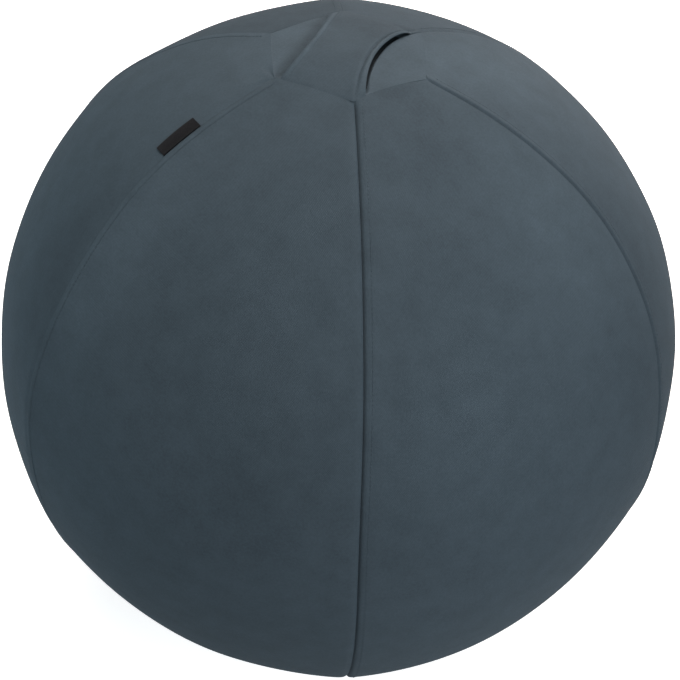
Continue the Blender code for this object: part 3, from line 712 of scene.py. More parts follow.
# %% Strap plan
STRAP_REACH = SEAM_RADIUS * np.sin(edge_polar(CAP_CORNER, 0)) + 1.5 * MM
CORNER_ASIDE = CAP_CORNER / 2
STRAP_WAIST = (-30 * MM, 27 * MM)
# How far the left and the right side flare with the way to the end and with its square
FLARES = {
    -1: ((9.8 * MM, -9.4 * MM), (4.2 * MM, 11.6 * MM)),
    1: ((-7.9 * MM, -6.2 * MM), (-4.9 * MM, 15.7 * MM)),
}


def strap_sides(t, side):
    """Left and right edge of the front (-1) or rear (1) half: parabolas that start at the waist."""
    return [waist + slope * t + wide * t**2 for waist, (slope, wide) in zip(STRAP_WAIST, FLARES[side])]


def strap_reach(end):
    """How far a side runs: to the crown's edge, or, past a corner, to the next edge at 60 degrees."""
    return STRAP_REACH - np.maximum(np.abs(end) - CORNER_ASIDE, 0) * np.tan(SECTOR)


def side_at(y, number, side):
    """Where the left (0) or right (1) edge of a half crosses a given y."""
    t = np.abs(y) / strap_reach(strap_sides(1.0, side)[number])
    return strap_sides(t, side)[number]


print("strap", round((STRAP_WAIST[1] - STRAP_WAIST[0]) / MM, 1), "mm wide at its waist")

# %% Hollow and painted shade of the crown
HOLLOW = 2.0 * MM
HOLLOW_SIDE = (-14 * MM, 3 * MM)
HOLLOW_LIP = 1.4 * MM
HOLLOW_FADE = 7 * MM
LIP_AWAY = 0.8 * MM
LIP_FRONT_SLOPE = 0.02
LIP_REAR_SLOPE = -0.06
# The strap's shadow painted on the crown towards its left edge, and a darkening right of the lip
SHADOW_SIDE = (-18 * MM, -6 * MM)
SHADOW_END = (10 * MM, 30 * MM)
LIP_DARKENING = 0.3
LIP_DARKENING_REACH = 12 * MM


def hollow_sides(y):
    """The strap's left edge at a given y, and the hollow's lip beyond its right edge."""
    left, right = [np.where(y < 0, side_at(y, k, -1), side_at(y, k, 1)) for k in (0, 1)]
    return left, right + LIP_AWAY + np.where(y < 0, LIP_FRONT_SLOPE, LIP_REAR_SLOPE) * np.abs(y)


def crown_hollow(x, y, to_edge):
    """The hollow in the crown: a long step down under the strap, a short one up on the right."""
    left, lip = hollow_sides(y)
    inside = smooth_step(*HOLLOW_SIDE, x - left)
    outside = smooth_step(-HOLLOW_LIP / 2, HOLLOW_LIP / 2, x - lip)
    return -HOLLOW * inside * (1 - outside) * smooth_step(0, HOLLOW_FADE, to_edge)


def crown_painted_shade(x, y):
    """Painted shade on the crown, down to -1.

    The strap's shadow, painted as a smooth step darker towards the strap's left edge, up to its middle, and
    a slighter darkening right of the lip.
    """
    left, lip = hollow_sides(y)
    under = smooth_step(*SHADOW_SIDE, x - left) * (1 - smooth_step(*SHADOW_END, x - left))
    return -under - LIP_DARKENING * smooth_step(0, LIP_DARKENING_REACH, x - lip)


print("hollow", round(HOLLOW / MM, 1), "mm deep")

# %% [markdown]
# ## Crown and base hexagons
# A hexagon that lies on a ball is easiest as rings round the pole. The outermost ring follows
# the same straight edges as the gores, so both meet in one seam.

# %% Hexagon panels
FIRST_RING = 0.04


def panel_grid(corner, up, rings, steps):
    """Rings from near the pole to the edge; six runs of share from -1 to 1 go round."""
    share = np.tile(np.linspace(-1, 1, steps, endpoint=False), 6)[None, :]
    place = np.repeat(np.arange(6), steps)[None, :]
    edge = edge_polar(corner, share) - PANEL_GAP / SEAM_RADIUS
    inward = np.linspace(FIRST_RING, 1, rings)[:, None]
    reach = edge - NEAR_PANEL[-1] / SEAM_RADIUS
    rim = edge - NEAR_PANEL[-2::-1][:, None] / SEAM_RADIUS
    polar = np.concatenate([reach * inward, rim], axis=0)
    to_edge = (edge - polar) * SEAM_RADIUS
    azimuth = place * SECTOR + share * HALF + 0 * polar
    share = share + 0 * polar
    if not up:
        return share, np.pi - polar, azimuth, edge_roll(BASE_FORM, to_edge)
    shifts = np.array([seam_shift(seam, np.array(CORNER_POLAR)) for seam in range(-1, 6)])
    azimuth = azimuth + shifts[place] * (1 - share) / 2 + shifts[place + 1] * (1 + share) / 2
    x, y, _ = np.moveaxis(ray(polar, azimuth) * SEAM_RADIUS, -1, 0)
    relief = crown_roll(place + 0 * to_edge.astype(int), share, to_edge)
    relief += crown_hollow(x, y, to_edge) + gathers(ray(polar, azimuth))
    return share, polar, azimuth, relief


def make_panel(name, node, corner, up, rings, steps):
    """A hexagon: its rings, a face and a back, the rim between them and a tip on the pole of each."""
    share, polar, azimuth, relief = panel_grid(corner, up, rings, steps)
    rays = ray(polar, azimuth)
    radius = skin_radius(polar, share) + relief + slack(rays)
    face = on_ball(rays, radius)
    face[..., 2] = np.maximum(face[..., 2], 0)
    back = on_ball(rays, radius - CLOTH)
    back[..., 2] = np.maximum(back[..., 2], CLOTH)
    rows, columns = share.shape
    size = rows * columns
    tips = np.stack([face[0].mean(0), back[0].mean(0)])
    points = np.concatenate([face.reshape(-1, 3), back.reshape(-1, 3), tips])
    near = np.arange(columns) + (rows - 1) * columns
    after = np.roll(near, -1)
    faces = [grid_quads(rows, columns, 0, True), grid_quads(rows, columns, size, True)[:, ::-1]]
    faces.append(joined(near, near + size, after + size, after))
    faces += [fan(2 * size, 0, columns), fan(2 * size + 1, size, columns, turned=True)]
    if not up:
        faces = [f[:, ::-1] for f in faces]
    # The crown carries the strap's shadow, painted into its colour
    tone_and_shading = crown_painted_shade(points[:, 0], points[:, 1]) if up else None
    piece = put_piece(name, points, faces, points[:, :2], crown_cloth if up else base_cloth, tone_and_shading)
    settle(piece, [node])
    return piece


crown = make_panel("cover_crown", "top_cap", CAP_CORNER, True, rings=100, steps=60)
base = make_panel("cover_base", "base_panel", BASE_CORNER, False, rings=40, steps=30)
print("panels", len(crown.data.polygons), len(base.data.polygons))

# %% [markdown]
# ## Carry strap
# The strap is a hemmed band that bows over the crown, and its stiff hems stand up the longest.
# Its middle rises with the hand while its ends stay sewn in. One piece can bend between two
# bodies only once, so the band is made as two halves that meet in the middle.

# %% Strap surface
# The gap under the left hem, the middle and the right hem
STRAP_GAPS = (4.3 * MM, 2.3 * MM, 4.3 * MM)
# How far along each half the gap is closed, on the left and on the right
STRAP_CLOSES = {-1: (1.0, 1.0), 1: (1.0, 0.8)}
# The power of that way in the middle, and what the left and the right hem add to it
CLOSE_POWER = 2.2
HEM_POWERS = (2.5, 4.5)
STRAP_THICK = 1.9 * MM
END_THINNING = 0.93
END_SINK = 0.2 * MM
END_SINK_FROM = 0.94
EDGE_ROUND = 1.2 * MM
HEM = 5.0 * MM
# The left and the right hem
HEM_PUFFS = (1.2 * MM, 0.7 * MM)
GROOVES = (0.3 * MM, 1.7 * MM)
PUFF_REACH = 1.9 * MM
GROOVE_REACH = 1.3 * MM


def crown_height(x, y):
    """Height of the crown, or of the gore beside it, without and with the hollow."""
    polar = np.arcsin(np.clip(np.hypot(x, y) / SEAM_RADIUS, 0, 1))
    azimuth = np.arctan2(x, -y)
    place = np.round(azimuth / SECTOR).astype(int)
    share = 2 * (azimuth / SECTOR - place)
    away = np.abs(polar - edge_polar(CAP_CORNER, share)) * SEAM_RADIUS
    radius = skin_radius(polar, share) + slack(ray(polar, azimuth)) + crown_roll(place, share, away)
    level = CENTRE[2] + radius * np.cos(polar)
    return level, level + crown_hollow(x, y, away)


def hem_form(to_edge, rise, groove):
    """A puffed hem and the groove of its stitches: two bells across the strap."""
    return rise * bell(to_edge - HEM / 2, PUFF_REACH) - groove * bell(to_edge - HEM, GROOVE_REACH)


def strap_points(side, t, share, offset):
    """Face and underside of a half from its waist (t is 0) to its sewn end (t is 1), and the way to an edge.

    A column lies at a share of the width plus an offset. The strap is dished: its gap follows a
    parabola across. The gap closes as a power of the way to the sewn end, the highest one at the
    right hem. Near the end the strap gets thin.
    """
    left, right = strap_sides(t, side)
    end_left, end_right = strap_sides(1.0, side)
    x = left + (right - left) * share + offset
    y = side * t * strap_reach(end_left + (end_right - end_left) * share + offset)
    from_left = x - left
    from_right = right - x
    to_edge = np.minimum(from_left, from_right)
    aside = from_left / (from_left + from_right)
    left_close, right_close = STRAP_CLOSES[side]
    way = np.minimum(t / (left_close + (right_close - left_close) * aside**2), 1)
    hem = (2 * aside - 1) ** 2
    is_left = aside < 0.5
    gap = STRAP_GAPS[1] + (np.where(is_left, STRAP_GAPS[0], STRAP_GAPS[2]) - STRAP_GAPS[1]) * hem
    gap = gap * (1 - way ** (CLOSE_POWER + np.where(is_left, *HEM_POWERS) * hem**1.5))
    thick = STRAP_THICK * (1 - END_THINNING * t**2)
    near = np.clip(to_edge / EDGE_ROUND, 0, 1)
    half = thick / 2 * np.sqrt(np.clip(1 - (1 - near) ** 2, 0.02, 1))
    relief = hem_form(from_left, HEM_PUFFS[0], GROOVES[0]) + hem_form(from_right, HEM_PUFFS[1], GROOVES[1])
    relief = relief * (1 - t**4) * near
    middle = crown_height(x, y)[0] + gap + thick / 2 - END_SINK * smooth_step(END_SINK_FROM, 1, t)
    return joined(x, y, middle + half + relief), joined(x, y, middle - half + relief / 2), to_edge


print("strap reach", round(STRAP_REACH, 4), "m")

# %% Strap halves
STRAP_NEAR = MM * np.array(
    [0, 0.1, 0.3, 0.6, 1.0, 1.6, 2.3, 3.0, 3.6, 4.1, 4.6, 5.0, 5.4, 5.9, 6.5, 7.3, 8.5]
)
STRAP_COLUMNS = 26
STRAP_ROWS = 80
# Painted highlight along the hems, lightest this far from the edge; the rear half is darker towards its end
HEM_HIGHLIGHT = 3.0 * MM
REAR_DARKENING = 0.8
REAR_DARKENING_BY = 0.6
BEND_FROM = 62 * MM
BEND_TO = 18 * MM
STRAP_HALVES = (("front", -1, ["handle_end_front", "handle_grip"]), ("rear", 1, ["handle_end_rear"]))
band_height = float(crown_height(np.array(0.0), np.array(0.0))[0])


def strap_bend(side):
    """Where a half starts to bend, at its sewn end, and where it moves with the hand."""
    return [(0, side * way, band_height) for way in (BEND_FROM, BEND_TO)]


def make_strap(name, side, nodes):
    """One half: a grid along t and across, crowded towards its end and its hems."""
    t = (1 - (1 - np.linspace(0, 1, STRAP_ROWS)) ** 1.3)[:, None]
    inner = np.linspace(0, 1, STRAP_COLUMNS + 2)[1:-1]
    count = len(STRAP_NEAR)
    share = np.concatenate([np.zeros(count), inner, np.ones(count)])
    offset = np.concatenate([STRAP_NEAR, STRAP_NEAR[-1] * (1 - 2 * inner), -STRAP_NEAR[::-1]])
    face, back, to_edge = strap_points(side, t, share, offset)
    # The hems are painted lighter where they stand up and catch the light, and the rear half is darker
    tone_and_shading = bell(to_edge - HEM_HIGHLIGHT, HEM_HIGHLIGHT) * (1 - t**6)
    if side > 0:
        tone_and_shading = tone_and_shading - REAR_DARKENING * smooth_step(0, REAR_DARKENING_BY, t)
    sheets = (face, back) if side < 0 else (back, face)
    piece = put_sheet("strap_" + name, *sheets, face[..., :2], strap_cloth, tone_and_shading)
    settle(piece, nodes, bend=strap_bend(side))
    return piece


strap = [make_strap(*half) for half in STRAP_HALVES]
print("strap", [len(half.data.polygons) for half in strap])

# %% Painted shade under the strap: a dark sheet in the slit
# A dark cloth for the zip tapes and the sand pouch, which also paints the shade in the slit under the strap
lining_cloth = cloth_material("lining_cloth", (0.017, 0.021, 0.025), 0.9 * MM, 0.15)
SHADE_SHEET_ENDS = (-54 * MM, 50 * MM)
SHADE_SHEET_START = 14 * MM
SHADE_SHEET_SHORT = 0.9 * MM
SHADE_SHEET_LIFT = 0.45 * MM
SHADE_SHEET_DIVE = 1.1 * MM
SHADE_SHEET_DIVE_REACH = 14 * MM
SHADE_SHEET_THICK = 0.35 * MM
SHADE_SHEET_ROWS = 140
SHADE_SHEET_COLUMNS = 50


def make_shade_sheet():
    """Painted shade: a dark sheet on the hollow's floor, from well under the strap to just short of the lip.

    Its two ends dive into the cloth by a smooth step.
    """
    y = np.linspace(*SHADE_SHEET_ENDS, SHADE_SHEET_ROWS)[:, None]
    left, lip = hollow_sides(y)
    across = np.linspace(0, 1, SHADE_SHEET_COLUMNS)[None, :]
    first = left + SHADE_SHEET_START
    x = first + (lip - SHADE_SHEET_SHORT - first) * (1 - (1 - across) ** 1.5)
    to_end = np.minimum(y - SHADE_SHEET_ENDS[0], SHADE_SHEET_ENDS[1] - y)
    dive = SHADE_SHEET_DIVE * (1 - smooth_step(0, SHADE_SHEET_DIVE_REACH, to_end))
    height = crown_height(x, y)[1] + SHADE_SHEET_LIFT - dive
    face, back = [joined(x, y, z) for z in (height, height - SHADE_SHEET_THICK)]
    piece = put_sheet("strap_shade_sheet", back, face, joined(x, y), lining_cloth)
    settle(piece)
    return piece


shade_sheet = make_shade_sheet()
print("shade_sheet", len(shade_sheet.data.polygons))

# %% [markdown]
# ## Ribbon tag
# A short black ribbon is folded once and caught in the front left seam. Its fold is the free
# edge. The section is a flat U: out from the seam, round the fold and back, carried along the
# seam on the gore's own surface, so that it lies on the cloth wherever the cloth goes.

# %% Tag
TAG_DROP = 73 * MM
TAG_LENGTH = 38 * MM
TAG_WIDTH = 12.5 * MM
# How far the free edge lifts in the middle, and how much less at its ends
TAG_LIFT = 0.9
TAG_BOW = 0.35
TAG_SINK = 0.3 * MM
RIBBON = 0.4 * MM
RIBBON_FOLD = 0.28 * MM
TAG_PLACE = 5
TAG_ROWS = 48


def ribbon_section():
    """Distance from the seam, height and normal along a U: lower layer, half circle, upper layer."""
    flat = np.linspace(0, TAG_WIDTH - RIBBON_FOLD - RIBBON / 2, 16)
    angle = np.linspace(-np.pi / 2, np.pi / 2, 11)[1:-1]
    away = np.concatenate([flat, flat[-1] + RIBBON_FOLD * np.cos(angle), flat[::-1]])
    high = np.concatenate([0 * flat - RIBBON_FOLD, RIBBON_FOLD * np.sin(angle), 0 * flat + RIBBON_FOLD])
    turn = np.concatenate([0 * flat - np.pi / 2, angle, 0 * flat + np.pi / 2])
    return away, high + RIBBON_FOLD + RIBBON / 2, np.cos(turn), np.sin(turn)


def ribbon_points(away, high, polar):
    """Points over the gore beside the tag's seam; the free edge lifts a little and bows."""
    share = 1 - (SEAM_GAP / 2 + np.maximum(away, 0)) / half_width(polar)
    rays, radius = gore_points(TAG_PLACE, share, polar)
    middle = (polar - polar.mean()) * SEAM_RADIUS / (TAG_LENGTH / 2)
    lift = (TAG_LIFT - TAG_BOW * middle**2) * MM * smooth_step(0, TAG_WIDTH, away)
    smoothed = skin_radius(polar, share) + slack(rays)
    return on_ball(rays, np.maximum(radius, smoothed - TAG_SINK) + lift + high)


def ribbon_material():
    """Black satin ribbon: fine ribs across it and a soft sheen."""
    made, tree, shader = new_material("black_ribbon", {"Specular IOR Level": 0.06})
    colour = tones(tree, noise(tree, 700, 3), (0.004, 0.004, 0.005), (0.009, 0.009, 0.010))
    rough = line(tree, noise(tree, 300, 2), 0.2, 0.45)
    feed(tree, shader, colour, rough, weave(tree, 6.0 * MM, 0.7 * MM), strength=0.4, distance=0.15 * MM)
    return made


away, high, out_away, out_high = ribbon_section()
tag_polar = CORNER_POLAR + (TAG_DROP + TAG_LENGTH * np.linspace(0, 1, TAG_ROWS)[:, None]) / SEAM_RADIUS
tag_polar = tag_polar + 0 * away
tag_sides = [(away + r * out_away, high + r * out_high) for r in (-RIBBON / 2, RIBBON / 2)]
tag_sheets = [ribbon_points(*tag_side, tag_polar) for tag_side in tag_sides]
ribbon_run = np.concatenate([[0], np.cumsum(np.hypot(np.diff(away), np.diff(high)))])
tag_uv = joined(ribbon_run + 0 * tag_polar, tag_polar * SEAM_RADIUS)
tag = put_sheet("tag_ribbon", *tag_sheets, tag_uv, ribbon_material())
settle(tag, ["tag"])

# %% [markdown]
# ## Topstitching
# A line of thread runs along one side of every seam, along both hems of the strap and along both
# edges of the zip. Each stitch is a tiny capsule whose ends dive into the cloth. There are well
# over a thousand of them, so each has 25 faces and all of a row are made at once.

# %% Stitches
STITCH_PITCH = 3.6 * MM
STITCH_HALF = 1.35 * MM
THREAD_RADIUS = 0.24 * MM
STITCH_SIDES = 5
RING_PLACES = np.array([-0.9, -0.45, 0.45, 0.9])
RING_SIZES = np.array([0.6, 1.0, 1.0, 0.6])
slate_thread = cloth_material("slate_thread", [c * 1.05 for c in SLATE], 0.5 * MM, 0.2)


def unit(vectors):
    """Vectors over their own lengths."""
    return vectors / np.linalg.norm(vectors, axis=-1, keepdims=True)


def along_path(path, run, places):
    """Points of a path at given lengths."""
    return np.stack([np.interp(places, run, path[:, k]) for k in range(3)], -1)


def put_stitches(name, path, outward):
    """Capsules at an even pitch: rings of five points, bowed up by a parabola, with sunk tips."""
    run = np.concatenate([[0], np.cumsum(np.linalg.norm(np.diff(path, axis=0), axis=1))])
    count = int(run[-1] / STITCH_PITCH)
    middle = (np.arange(count) + 0.5) * run[-1] / count
    start = along_path(path, run, middle - STITCH_HALF)
    end = along_path(path, run, middle + STITCH_HALF)
    up = unit(along_path(outward, run, middle))
    along = unit(end - start)
    across = np.cross(up, along)
    turn = np.arange(STITCH_SIDES) * 2 * np.pi / STITCH_SIDES
    side = np.cos(turn)[:, None] * up[:, None, :] + np.sin(turn)[:, None] * across[:, None, :]
    spine = (start + end)[:, None, :] / 2 + RING_PLACES[:, None] * STITCH_HALF * along[:, None, :]
    spine = spine + (THREAD_RADIUS * (1.1 - RING_PLACES**2))[:, None] * up[:, None, :]
    rings = spine[:, :, None, :] + THREAD_RADIUS * RING_SIZES[:, None, None] * side[:, None, :, :]
    tips = np.stack([start, end], 1) - THREAD_RADIUS * up[:, None, :]
    points = np.concatenate([rings.reshape(count, -1, 3), tips], axis=1)
    each = points.shape[1]
    last = each - 2 - STITCH_SIDES
    quads = grid_quads(len(RING_PLACES), STITCH_SIDES, 0, True)
    ends = [fan(each - 2, 0, STITCH_SIDES), fan(each - 1, last, STITCH_SIDES, turned=True)]
    step = each * np.arange(count)[:, None, None]
    faces = [(step + quads).reshape(-1, 4), (step + np.concatenate(ends)).reshape(-1, 3)]
    uv = joined(np.repeat(middle, each), np.tile(np.arange(each), count) * THREAD_RADIUS)
    return put_piece(name, points.reshape(-1, 3), faces, uv, slate_thread)


print("stitch of", round(2 * STITCH_HALF / MM, 1), "mm every", round(STITCH_PITCH / MM, 1), "mm")

# %% Stitch rows on the seams
ROW_INSET = 5 * MM / SEAM_RADIUS
ROW_SAMPLES = 400


def seam_row(place, from_left, first, last):
    """A row beside one seam of a gore, closer to the edge where the zip opens."""
    polar = np.linspace(first, last, ROW_SAMPLES)
    edge, opened = gore_edges(place, polar)[0 if from_left else 1]
    away = edge + TOPSTITCH + (SLOT_STITCH - TOPSTITCH) * opened
    share = (1 - away / half_width(polar)) * (-1 if from_left else 1)
    rays, radius = gore_points(place, share, polar)
    return on_ball(rays, radius), rays


seam_rows = [(place, True, CORNER_POLAR + ROW_INSET, FOOT_POLAR - ROW_INSET) for place in range(6)]
seam_rows.append((ZIP_SEAM, False, ZIP_POLAR - ROW_INSET, ZIP_END_POLAR + ROW_INSET))
for place, from_left, first, last in seam_rows:
    row_name = "stitches_" + GORES[place] + ("" if from_left else "_zip")
    settle(put_stitches(row_name, *seam_row(place, from_left, first, last)))
print("seam rows", len(seam_rows))

# %% Stitch rows on the strap
HEM_ROW_END = 0.97
HEM_SAMPLES = 120


def hem_row(side, right_hand):
    """A row along one hem of a strap half, on its face."""
    t = np.linspace(0, HEM_ROW_END, HEM_SAMPLES)
    path = strap_points(side, t, float(right_hand), -HEM if right_hand else HEM)[0]
    return path, unit(path - CENTRE)


for half_name, side, _ in STRAP_HALVES:
    for right_hand in (False, True):
        row_name = "stitches_strap_" + half_name + ("_right" if right_hand else "_left")
        settle(put_stitches(row_name, *hem_row(side, right_hand)), bend=strap_bend(side))
print("hem rows", 2 * len(STRAP_HALVES))

# %% [markdown]
# ## Zip
# The cover comes off through a zip in the back seam. Its teeth, stops, slider and pull keep their
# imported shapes, with their edges eased by a Weld and a Bevel. The two tapes are cloth, so they
# are made anew: flat beside the teeth, then under the edges of the gores.

# %% Zip tapes
TAPE_NEAR = 3.7 * MM
TAPE_REACH = 15 * MM
TAPE_THICK = 0.8 * MM
TAPE_DEPTH = CLOTH + 0.3 * MM
TAPE_ROWS = 120
TAPE_COLUMNS = 26
ZIP_AZIMUTH = (ZIP_SEAM + 0.5) * SECTOR


def tape_radius(polar, away):
    """The level of the slot's edge up to that edge, and the cover's underside beyond it."""
    away = np.maximum(away, ZIP_SLOT / 2)
    share = 1 - away / half_width(polar)
    return skin_radius(polar, share) - TAPE_DEPTH


def make_tape(side):
    """One tape: a band beside the zip's meridian, from the teeth to under the gore."""
    polar = np.linspace(ZIP_POLAR, ZIP_END_POLAR, TAPE_ROWS)[:, None]
    away = np.linspace(TAPE_NEAR, TAPE_REACH, TAPE_COLUMNS)[None, :]
    rays = ray(polar, ZIP_AZIMUTH + side * away / (SEAM_RADIUS * np.sin(polar)))
    radius = tape_radius(polar, away)
    face = on_ball(rays, radius)
    back = on_ball(rays, radius - TAPE_THICK)
    uv = joined(away, polar * SEAM_RADIUS)
    name = "left" if side < 0 else "right"
    piece = put_sheet("tape_" + name, *((face, back) if side > 0 else (back, face)), uv, lining_cloth)
    settle(piece, ["zip_tape_" + name])
    return piece


tapes = [make_tape(side) for side in (-1, 1)]
print("tapes", [t.name for t in tapes])


# %% Zip finishes
def speckled(name, colour, contrast, roughness, grain, sockets):
    """Moulded or coated finish: a faint speckle in colour, roughness and surface."""
    made, tree, shader = new_material(name, sockets)
    cells = noise(tree, grain, 3)
    colours = tones(tree, cells, *spread(colour, contrast))
    rough = line(tree, cells, 0.2, roughness - 0.1)
    feed(tree, shader, colours, rough, cells, strength=0.15, distance=0.1 * MM)
    return made


def dress_node(name, surface, edge):
    """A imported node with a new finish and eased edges."""
    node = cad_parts[name]
    for place in node.material_slots:
        place.material = surface
    weld = node.modifiers.new("weld", "WELD")
    weld.merge_threshold = 0.01 * MM
    ease = node.modifiers.new("ease", "BEVEL")
    ease.width = edge
    ease.segments = 2
    ease.limit_method = "ANGLE"
    ease.angle_limit = np.radians(40)


zip_plastic = speckled("zip_plastic", (0.03, 0.036, 0.042), 0.1, 0.45, 900, {"Specular IOR Level": 0.45})
zip_metal = speckled("zip_metal", (0.10, 0.105, 0.11), 0.12, 0.34, 1400, {"Metallic": 0.9})
for node_name in ("teeth_left", "teeth_right", "top_stop_left", "top_stop_right", "end_stop"):
    dress_node("zip_" + node_name, zip_plastic, 0.18 * MM)
for node_name in ("zip_slider", "zip_pull"):
    dress_node(node_name, zip_metal, 0.25 * MM)
print("zip finished")

# %% [markdown]
# ## Inside the cover
# The cover hides an air-filled vinyl ball with a push-in plug, and a flat sand pouch in the base.
# All of them are turned forms: a profile carried round an axis, with its two ends on that axis.

# %% Turned pieces
RIPPLES = 23


def put_turned(name, radius, height, steps, surface, ripple=None):
    """A profile of radii and heights from tip to tip, carried round Z; ripple scales it by angle."""
    turn = np.arange(steps) * 2 * np.pi / steps
    wide = radius[1:-1, None] * np.ones(steps)
    if ripple is not None:
        wide = wide * (1 + ripple[1:-1, None] * np.sin(turn * RIPPLES + 2 * np.sin(turn * 3)))
    rings = joined(wide * np.cos(turn), wide * np.sin(turn), height[1:-1, None])
    rows = len(rings)
    size = rows * steps
    tips = np.array([[0, 0, height[0]], [0, 0, height[-1]]])
    points = np.concatenate([rings.reshape(-1, 3), tips])
    ends = [fan(size, 0, steps), fan(size + 1, size - steps, steps, turned=True)]
    faces = [grid_quads(rows, steps, 0, True), np.concatenate(ends)]
    x, y, z = points.T
    uv = joined(np.arctan2(y, x) * x.max(), z)
    return put_piece(name, points, faces, uv, surface)


BALL_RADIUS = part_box("inner_ball")[1][2] - CENTRE[2]
BALL_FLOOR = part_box("inner_ball")[0][2]
grey_vinyl = speckled("grey_vinyl", (0.32, 0.34, 0.36), 0.05, 0.42, 400, {"Specular IOR Level": 0.5})
ball_polar = np.linspace(0, np.arccos((BALL_FLOOR - CENTRE[2]) / BALL_RADIUS), 80)
ball_radii = np.concatenate([BALL_RADIUS * np.sin(ball_polar), [0]])
ball_heights = np.concatenate([CENTRE[2] + BALL_RADIUS * np.cos(ball_polar), [BALL_FLOOR]])
air_ball = put_turned("air_ball", ball_radii, ball_heights, 120, grey_vinyl)
settle(air_ball, ["inner_ball"])
white_plug = speckled("white_plug", (0.72, 0.72, 0.71), 0.04, 0.4, 600, {"Specular IOR Level": 0.5})
dress_node("valve_plug", white_plug, 0.2 * MM)
print("air ball", round(2 * float(BALL_RADIUS), 3), "m across")

# %% Sand pouch
POUCH_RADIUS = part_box("ballast_bag")[1][0]
POUCH_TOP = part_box("ballast_lid")[1][2]
POUCH_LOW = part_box("ballast_bag")[0][2]
POUCH_SIDE = POUCH_LOW + 6.7 * MM
POUCH_RIM = 4 * MM
POUCH_CROWN = 0.6 * MM
RIPPLE = 0.006
RIPPLE_REACH = 9 * MM
SAND_INSET = 0.04


def pouch_profile(inset):
    """Flat under the middle, rising along the base, a round rim and a low crowned top."""
    t = np.linspace(0, 1, 24)
    under = FOOT_RADIUS + (POUCH_RADIUS - FOOT_RADIUS) * t
    rim = np.linspace(-np.pi / 2, np.pi / 2, 15)[1:]
    rim_height = (POUCH_TOP - POUCH_SIDE) / 2
    top = (POUCH_RADIUS - POUCH_RIM) * (1 - t[1:])
    edge = POUCH_RADIUS - POUCH_RIM * (1 - np.cos(rim))
    radius = [t[:-1] * FOOT_RADIUS, under - POUCH_RIM * t, edge, top]
    height = [POUCH_LOW + 0 * t[:-1], POUCH_LOW + (POUCH_SIDE - POUCH_LOW) * t**1.4]
    height += [POUCH_SIDE + rim_height * (1 + np.sin(rim)), POUCH_TOP - POUCH_CROWN * (1 - t[1:]) ** 2]
    middle = (POUCH_TOP + POUCH_LOW) / 2
    heights = middle + (np.concatenate(height)[::-1] - middle) * (1 - 2 * inset)
    return np.concatenate(radius)[::-1] * (1 - inset), heights


pouch_radii, pouch_heights = pouch_profile(0.0)
pouch_ripple = RIPPLE * bell(pouch_radii - POUCH_RADIUS, RIPPLE_REACH)
pouch = put_turned("sand_pouch", pouch_radii, pouch_heights, 160, lining_cloth, pouch_ripple)
settle(pouch, ["ballast_bag", "ballast_lid"])
sand_finish = speckled("sand", (0.50, 0.42, 0.30), 0.35, 0.9, 1100, {"Specular IOR Level": 0.2})
sand = put_turned("sand_fill", *pouch_profile(SAND_INSET), 120, sand_finish)
settle(sand, ["ballast_sand"])
print("pouch", round(2 * float(POUCH_RADIUS), 3), "m across")

# %% [markdown]
# ## Camera
# The photograph looks down at about 41 degrees from the front, a little to the right, with the
# ball filling the frame. Its aim is the middle of the ball, and a slight roll leans the crown.

# %% Camera
PHOTO_SIZE = 680
BALL_PIXEL = (336.99, 337.25)
FOCAL_PIXELS = 1379.0
CAMERA_DISTANCE = 1.354
CAMERA_ELEVATION = np.radians(41.3)
CAMERA_AZIMUTH = np.radians(25.3)
CAMERA_ROLL = np.radians(2.34)

look_back = ray(np.pi / 2 - CAMERA_ELEVATION, CAMERA_AZIMUTH)
level_right = np.array([np.cos(CAMERA_AZIMUTH), np.sin(CAMERA_AZIMUTH), 0])
level_up = np.cross(look_back, level_right)
right = np.cos(CAMERA_ROLL) * level_right + np.sin(CAMERA_ROLL) * level_up
up = np.cos(CAMERA_ROLL) * level_up - np.sin(CAMERA_ROLL) * level_right
camera_data = bpy.data.cameras.new("camera")
camera_data.sensor_width = 36
camera_data.lens = FOCAL_PIXELS * camera_data.sensor_width / PHOTO_SIZE
camera_data.shift_x = 0.5 - BALL_PIXEL[0] / PHOTO_SIZE
camera_data.shift_y = BALL_PIXEL[1] / PHOTO_SIZE - 0.5
camera = bpy.data.objects.new("camera", camera_data)
bpy.context.scene.collection.objects.link(camera)
turn = Matrix((right, up, look_back)).transposed()
camera.matrix_world = Matrix.Translation(Vector(CENTRE + look_back * CAMERA_DISTANCE)) @ turn.to_4x4()
bpy.context.scene.camera = camera
print("lens", round(camera_data.lens, 2), "mm")

# %% [markdown]
# ## Light
# Four soft lamps stand round the ball: one overhead, one behind, a smaller one on the right and
# a low one on the left. They are slightly warm above and cool below, and the surround adds
# hardly any light. Floor and surround are white to the camera only, so they don't light the ball.

# %% Lamps
# name, azimuth, elevation, distance, size, power and colour
LAMPS = (
    ("top", 25, 89, 2.2, 1.6, 34, (1.09, 1.0, 0.93)),
    ("right", 62, 30, 2.2, 0.9, 23.5, (0.93, 1.0, 1.04)),
    ("back", 180, 30, 2.2, 1.6, 54, (1.13, 1.0, 0.94)),
    ("low left", -60, 5, 2.2, 1.6, 19, (0.75, 1.0, 1.1)),
)


def add_lamp(name, azimuth, elevation, distance, size, power, colour):
    """A square area lamp that faces the ball."""
    data = bpy.data.lights.new(name, "AREA")
    data.size = size
    data.energy = power
    data.color = colour
    lamp = bpy.data.objects.new(name, data)
    outward = Vector(ray(np.pi / 2 - np.radians(elevation), np.radians(azimuth)))
    place = Vector(CENTRE) + outward * distance
    lamp.matrix_world = Matrix.Translation(place) @ outward.to_track_quat("Z", "Y").to_matrix().to_4x4()
    bpy.context.scene.collection.objects.link(lamp)


for lamp in LAMPS:
    add_lamp(*lamp)

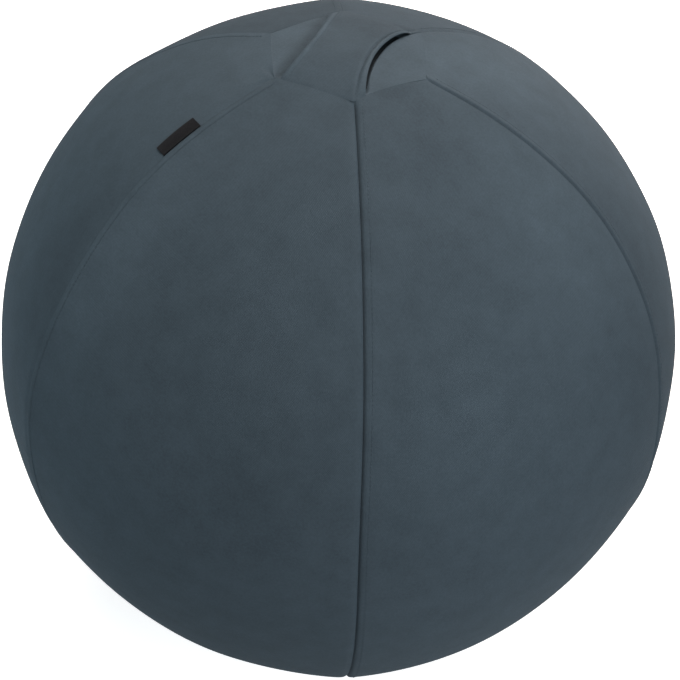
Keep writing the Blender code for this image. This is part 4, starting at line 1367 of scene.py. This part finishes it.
# %% Floor and surround
AMBIENT = 0.04
FLOOR_SIZE = 40.0
FLOOR_DROP = 0.2 * MM
# The floor is a little darker near the ball, so that it keeps the shadow, and white further off
FLOOR_NEAR = 1.5
FLOOR_FAR = 3.0
FLOOR_GLOW = 0.8


def seen_directly(tree):
    """1 for camera, glossy and transmission rays."""
    path = add_node(tree, "LightPath")
    both = math(tree, "MAXIMUM", path.outputs["Is Camera Ray"], path.outputs["Is Glossy Ray"])
    return math(tree, "MAXIMUM", both, path.outputs["Is Transmission Ray"])


world = bpy.data.worlds.new("surround")
bpy.context.scene.world = world
world.use_nodes = True
sky_tree = world.node_tree
sky = sky_tree.nodes["Background"]
sky.inputs["Color"].default_value = (1, 1, 1, 1)
sky_tree.links.new(line(sky_tree, seen_directly(sky_tree), 1 - AMBIENT, AMBIENT), sky.inputs["Strength"])

floor_sockets = {"Roughness": 0.9, "Specular IOR Level": 0.1}
floor_sockets.update({"Base Color": (0.82, 0.82, 0.82, 1), "Emission Color": (1, 1, 1, 1)})
floor_white, floor_tree, floor_shader = new_material("floor_white", floor_sockets)
floor_place = add_node(floor_tree, "TexCoord").outputs["Object"]
floor_away = add_node(floor_tree, "VectorMath", {"operation": "LENGTH"}, {0: floor_place}).outputs["Value"]
floor_range = {"Value": floor_away, "From Min": FLOOR_NEAR, "From Max": FLOOR_FAR, "To Min": FLOOR_GLOW}
floor_level = add_node(floor_tree, "MapRange", {"interpolation_type": "SMOOTHSTEP"}, floor_range)
glow = math(floor_tree, "MULTIPLY", seen_directly(floor_tree), floor_level.outputs["Result"])
floor_tree.links.new(glow, floor_shader.inputs["Emission Strength"])
across = np.linspace(-FLOOR_SIZE / 2, FLOOR_SIZE / 2, 3)
floor_points = joined(across[None, :], across[:, None], -FLOOR_DROP).reshape(-1, 3)
floor = put_piece("floor", floor_points, [grid_quads(3, 3)[:, ::-1]], floor_points[:, :2], floor_white)
bpy.context.scene.view_settings.view_transform = "Standard"
print("floor", FLOOR_SIZE, "m across")
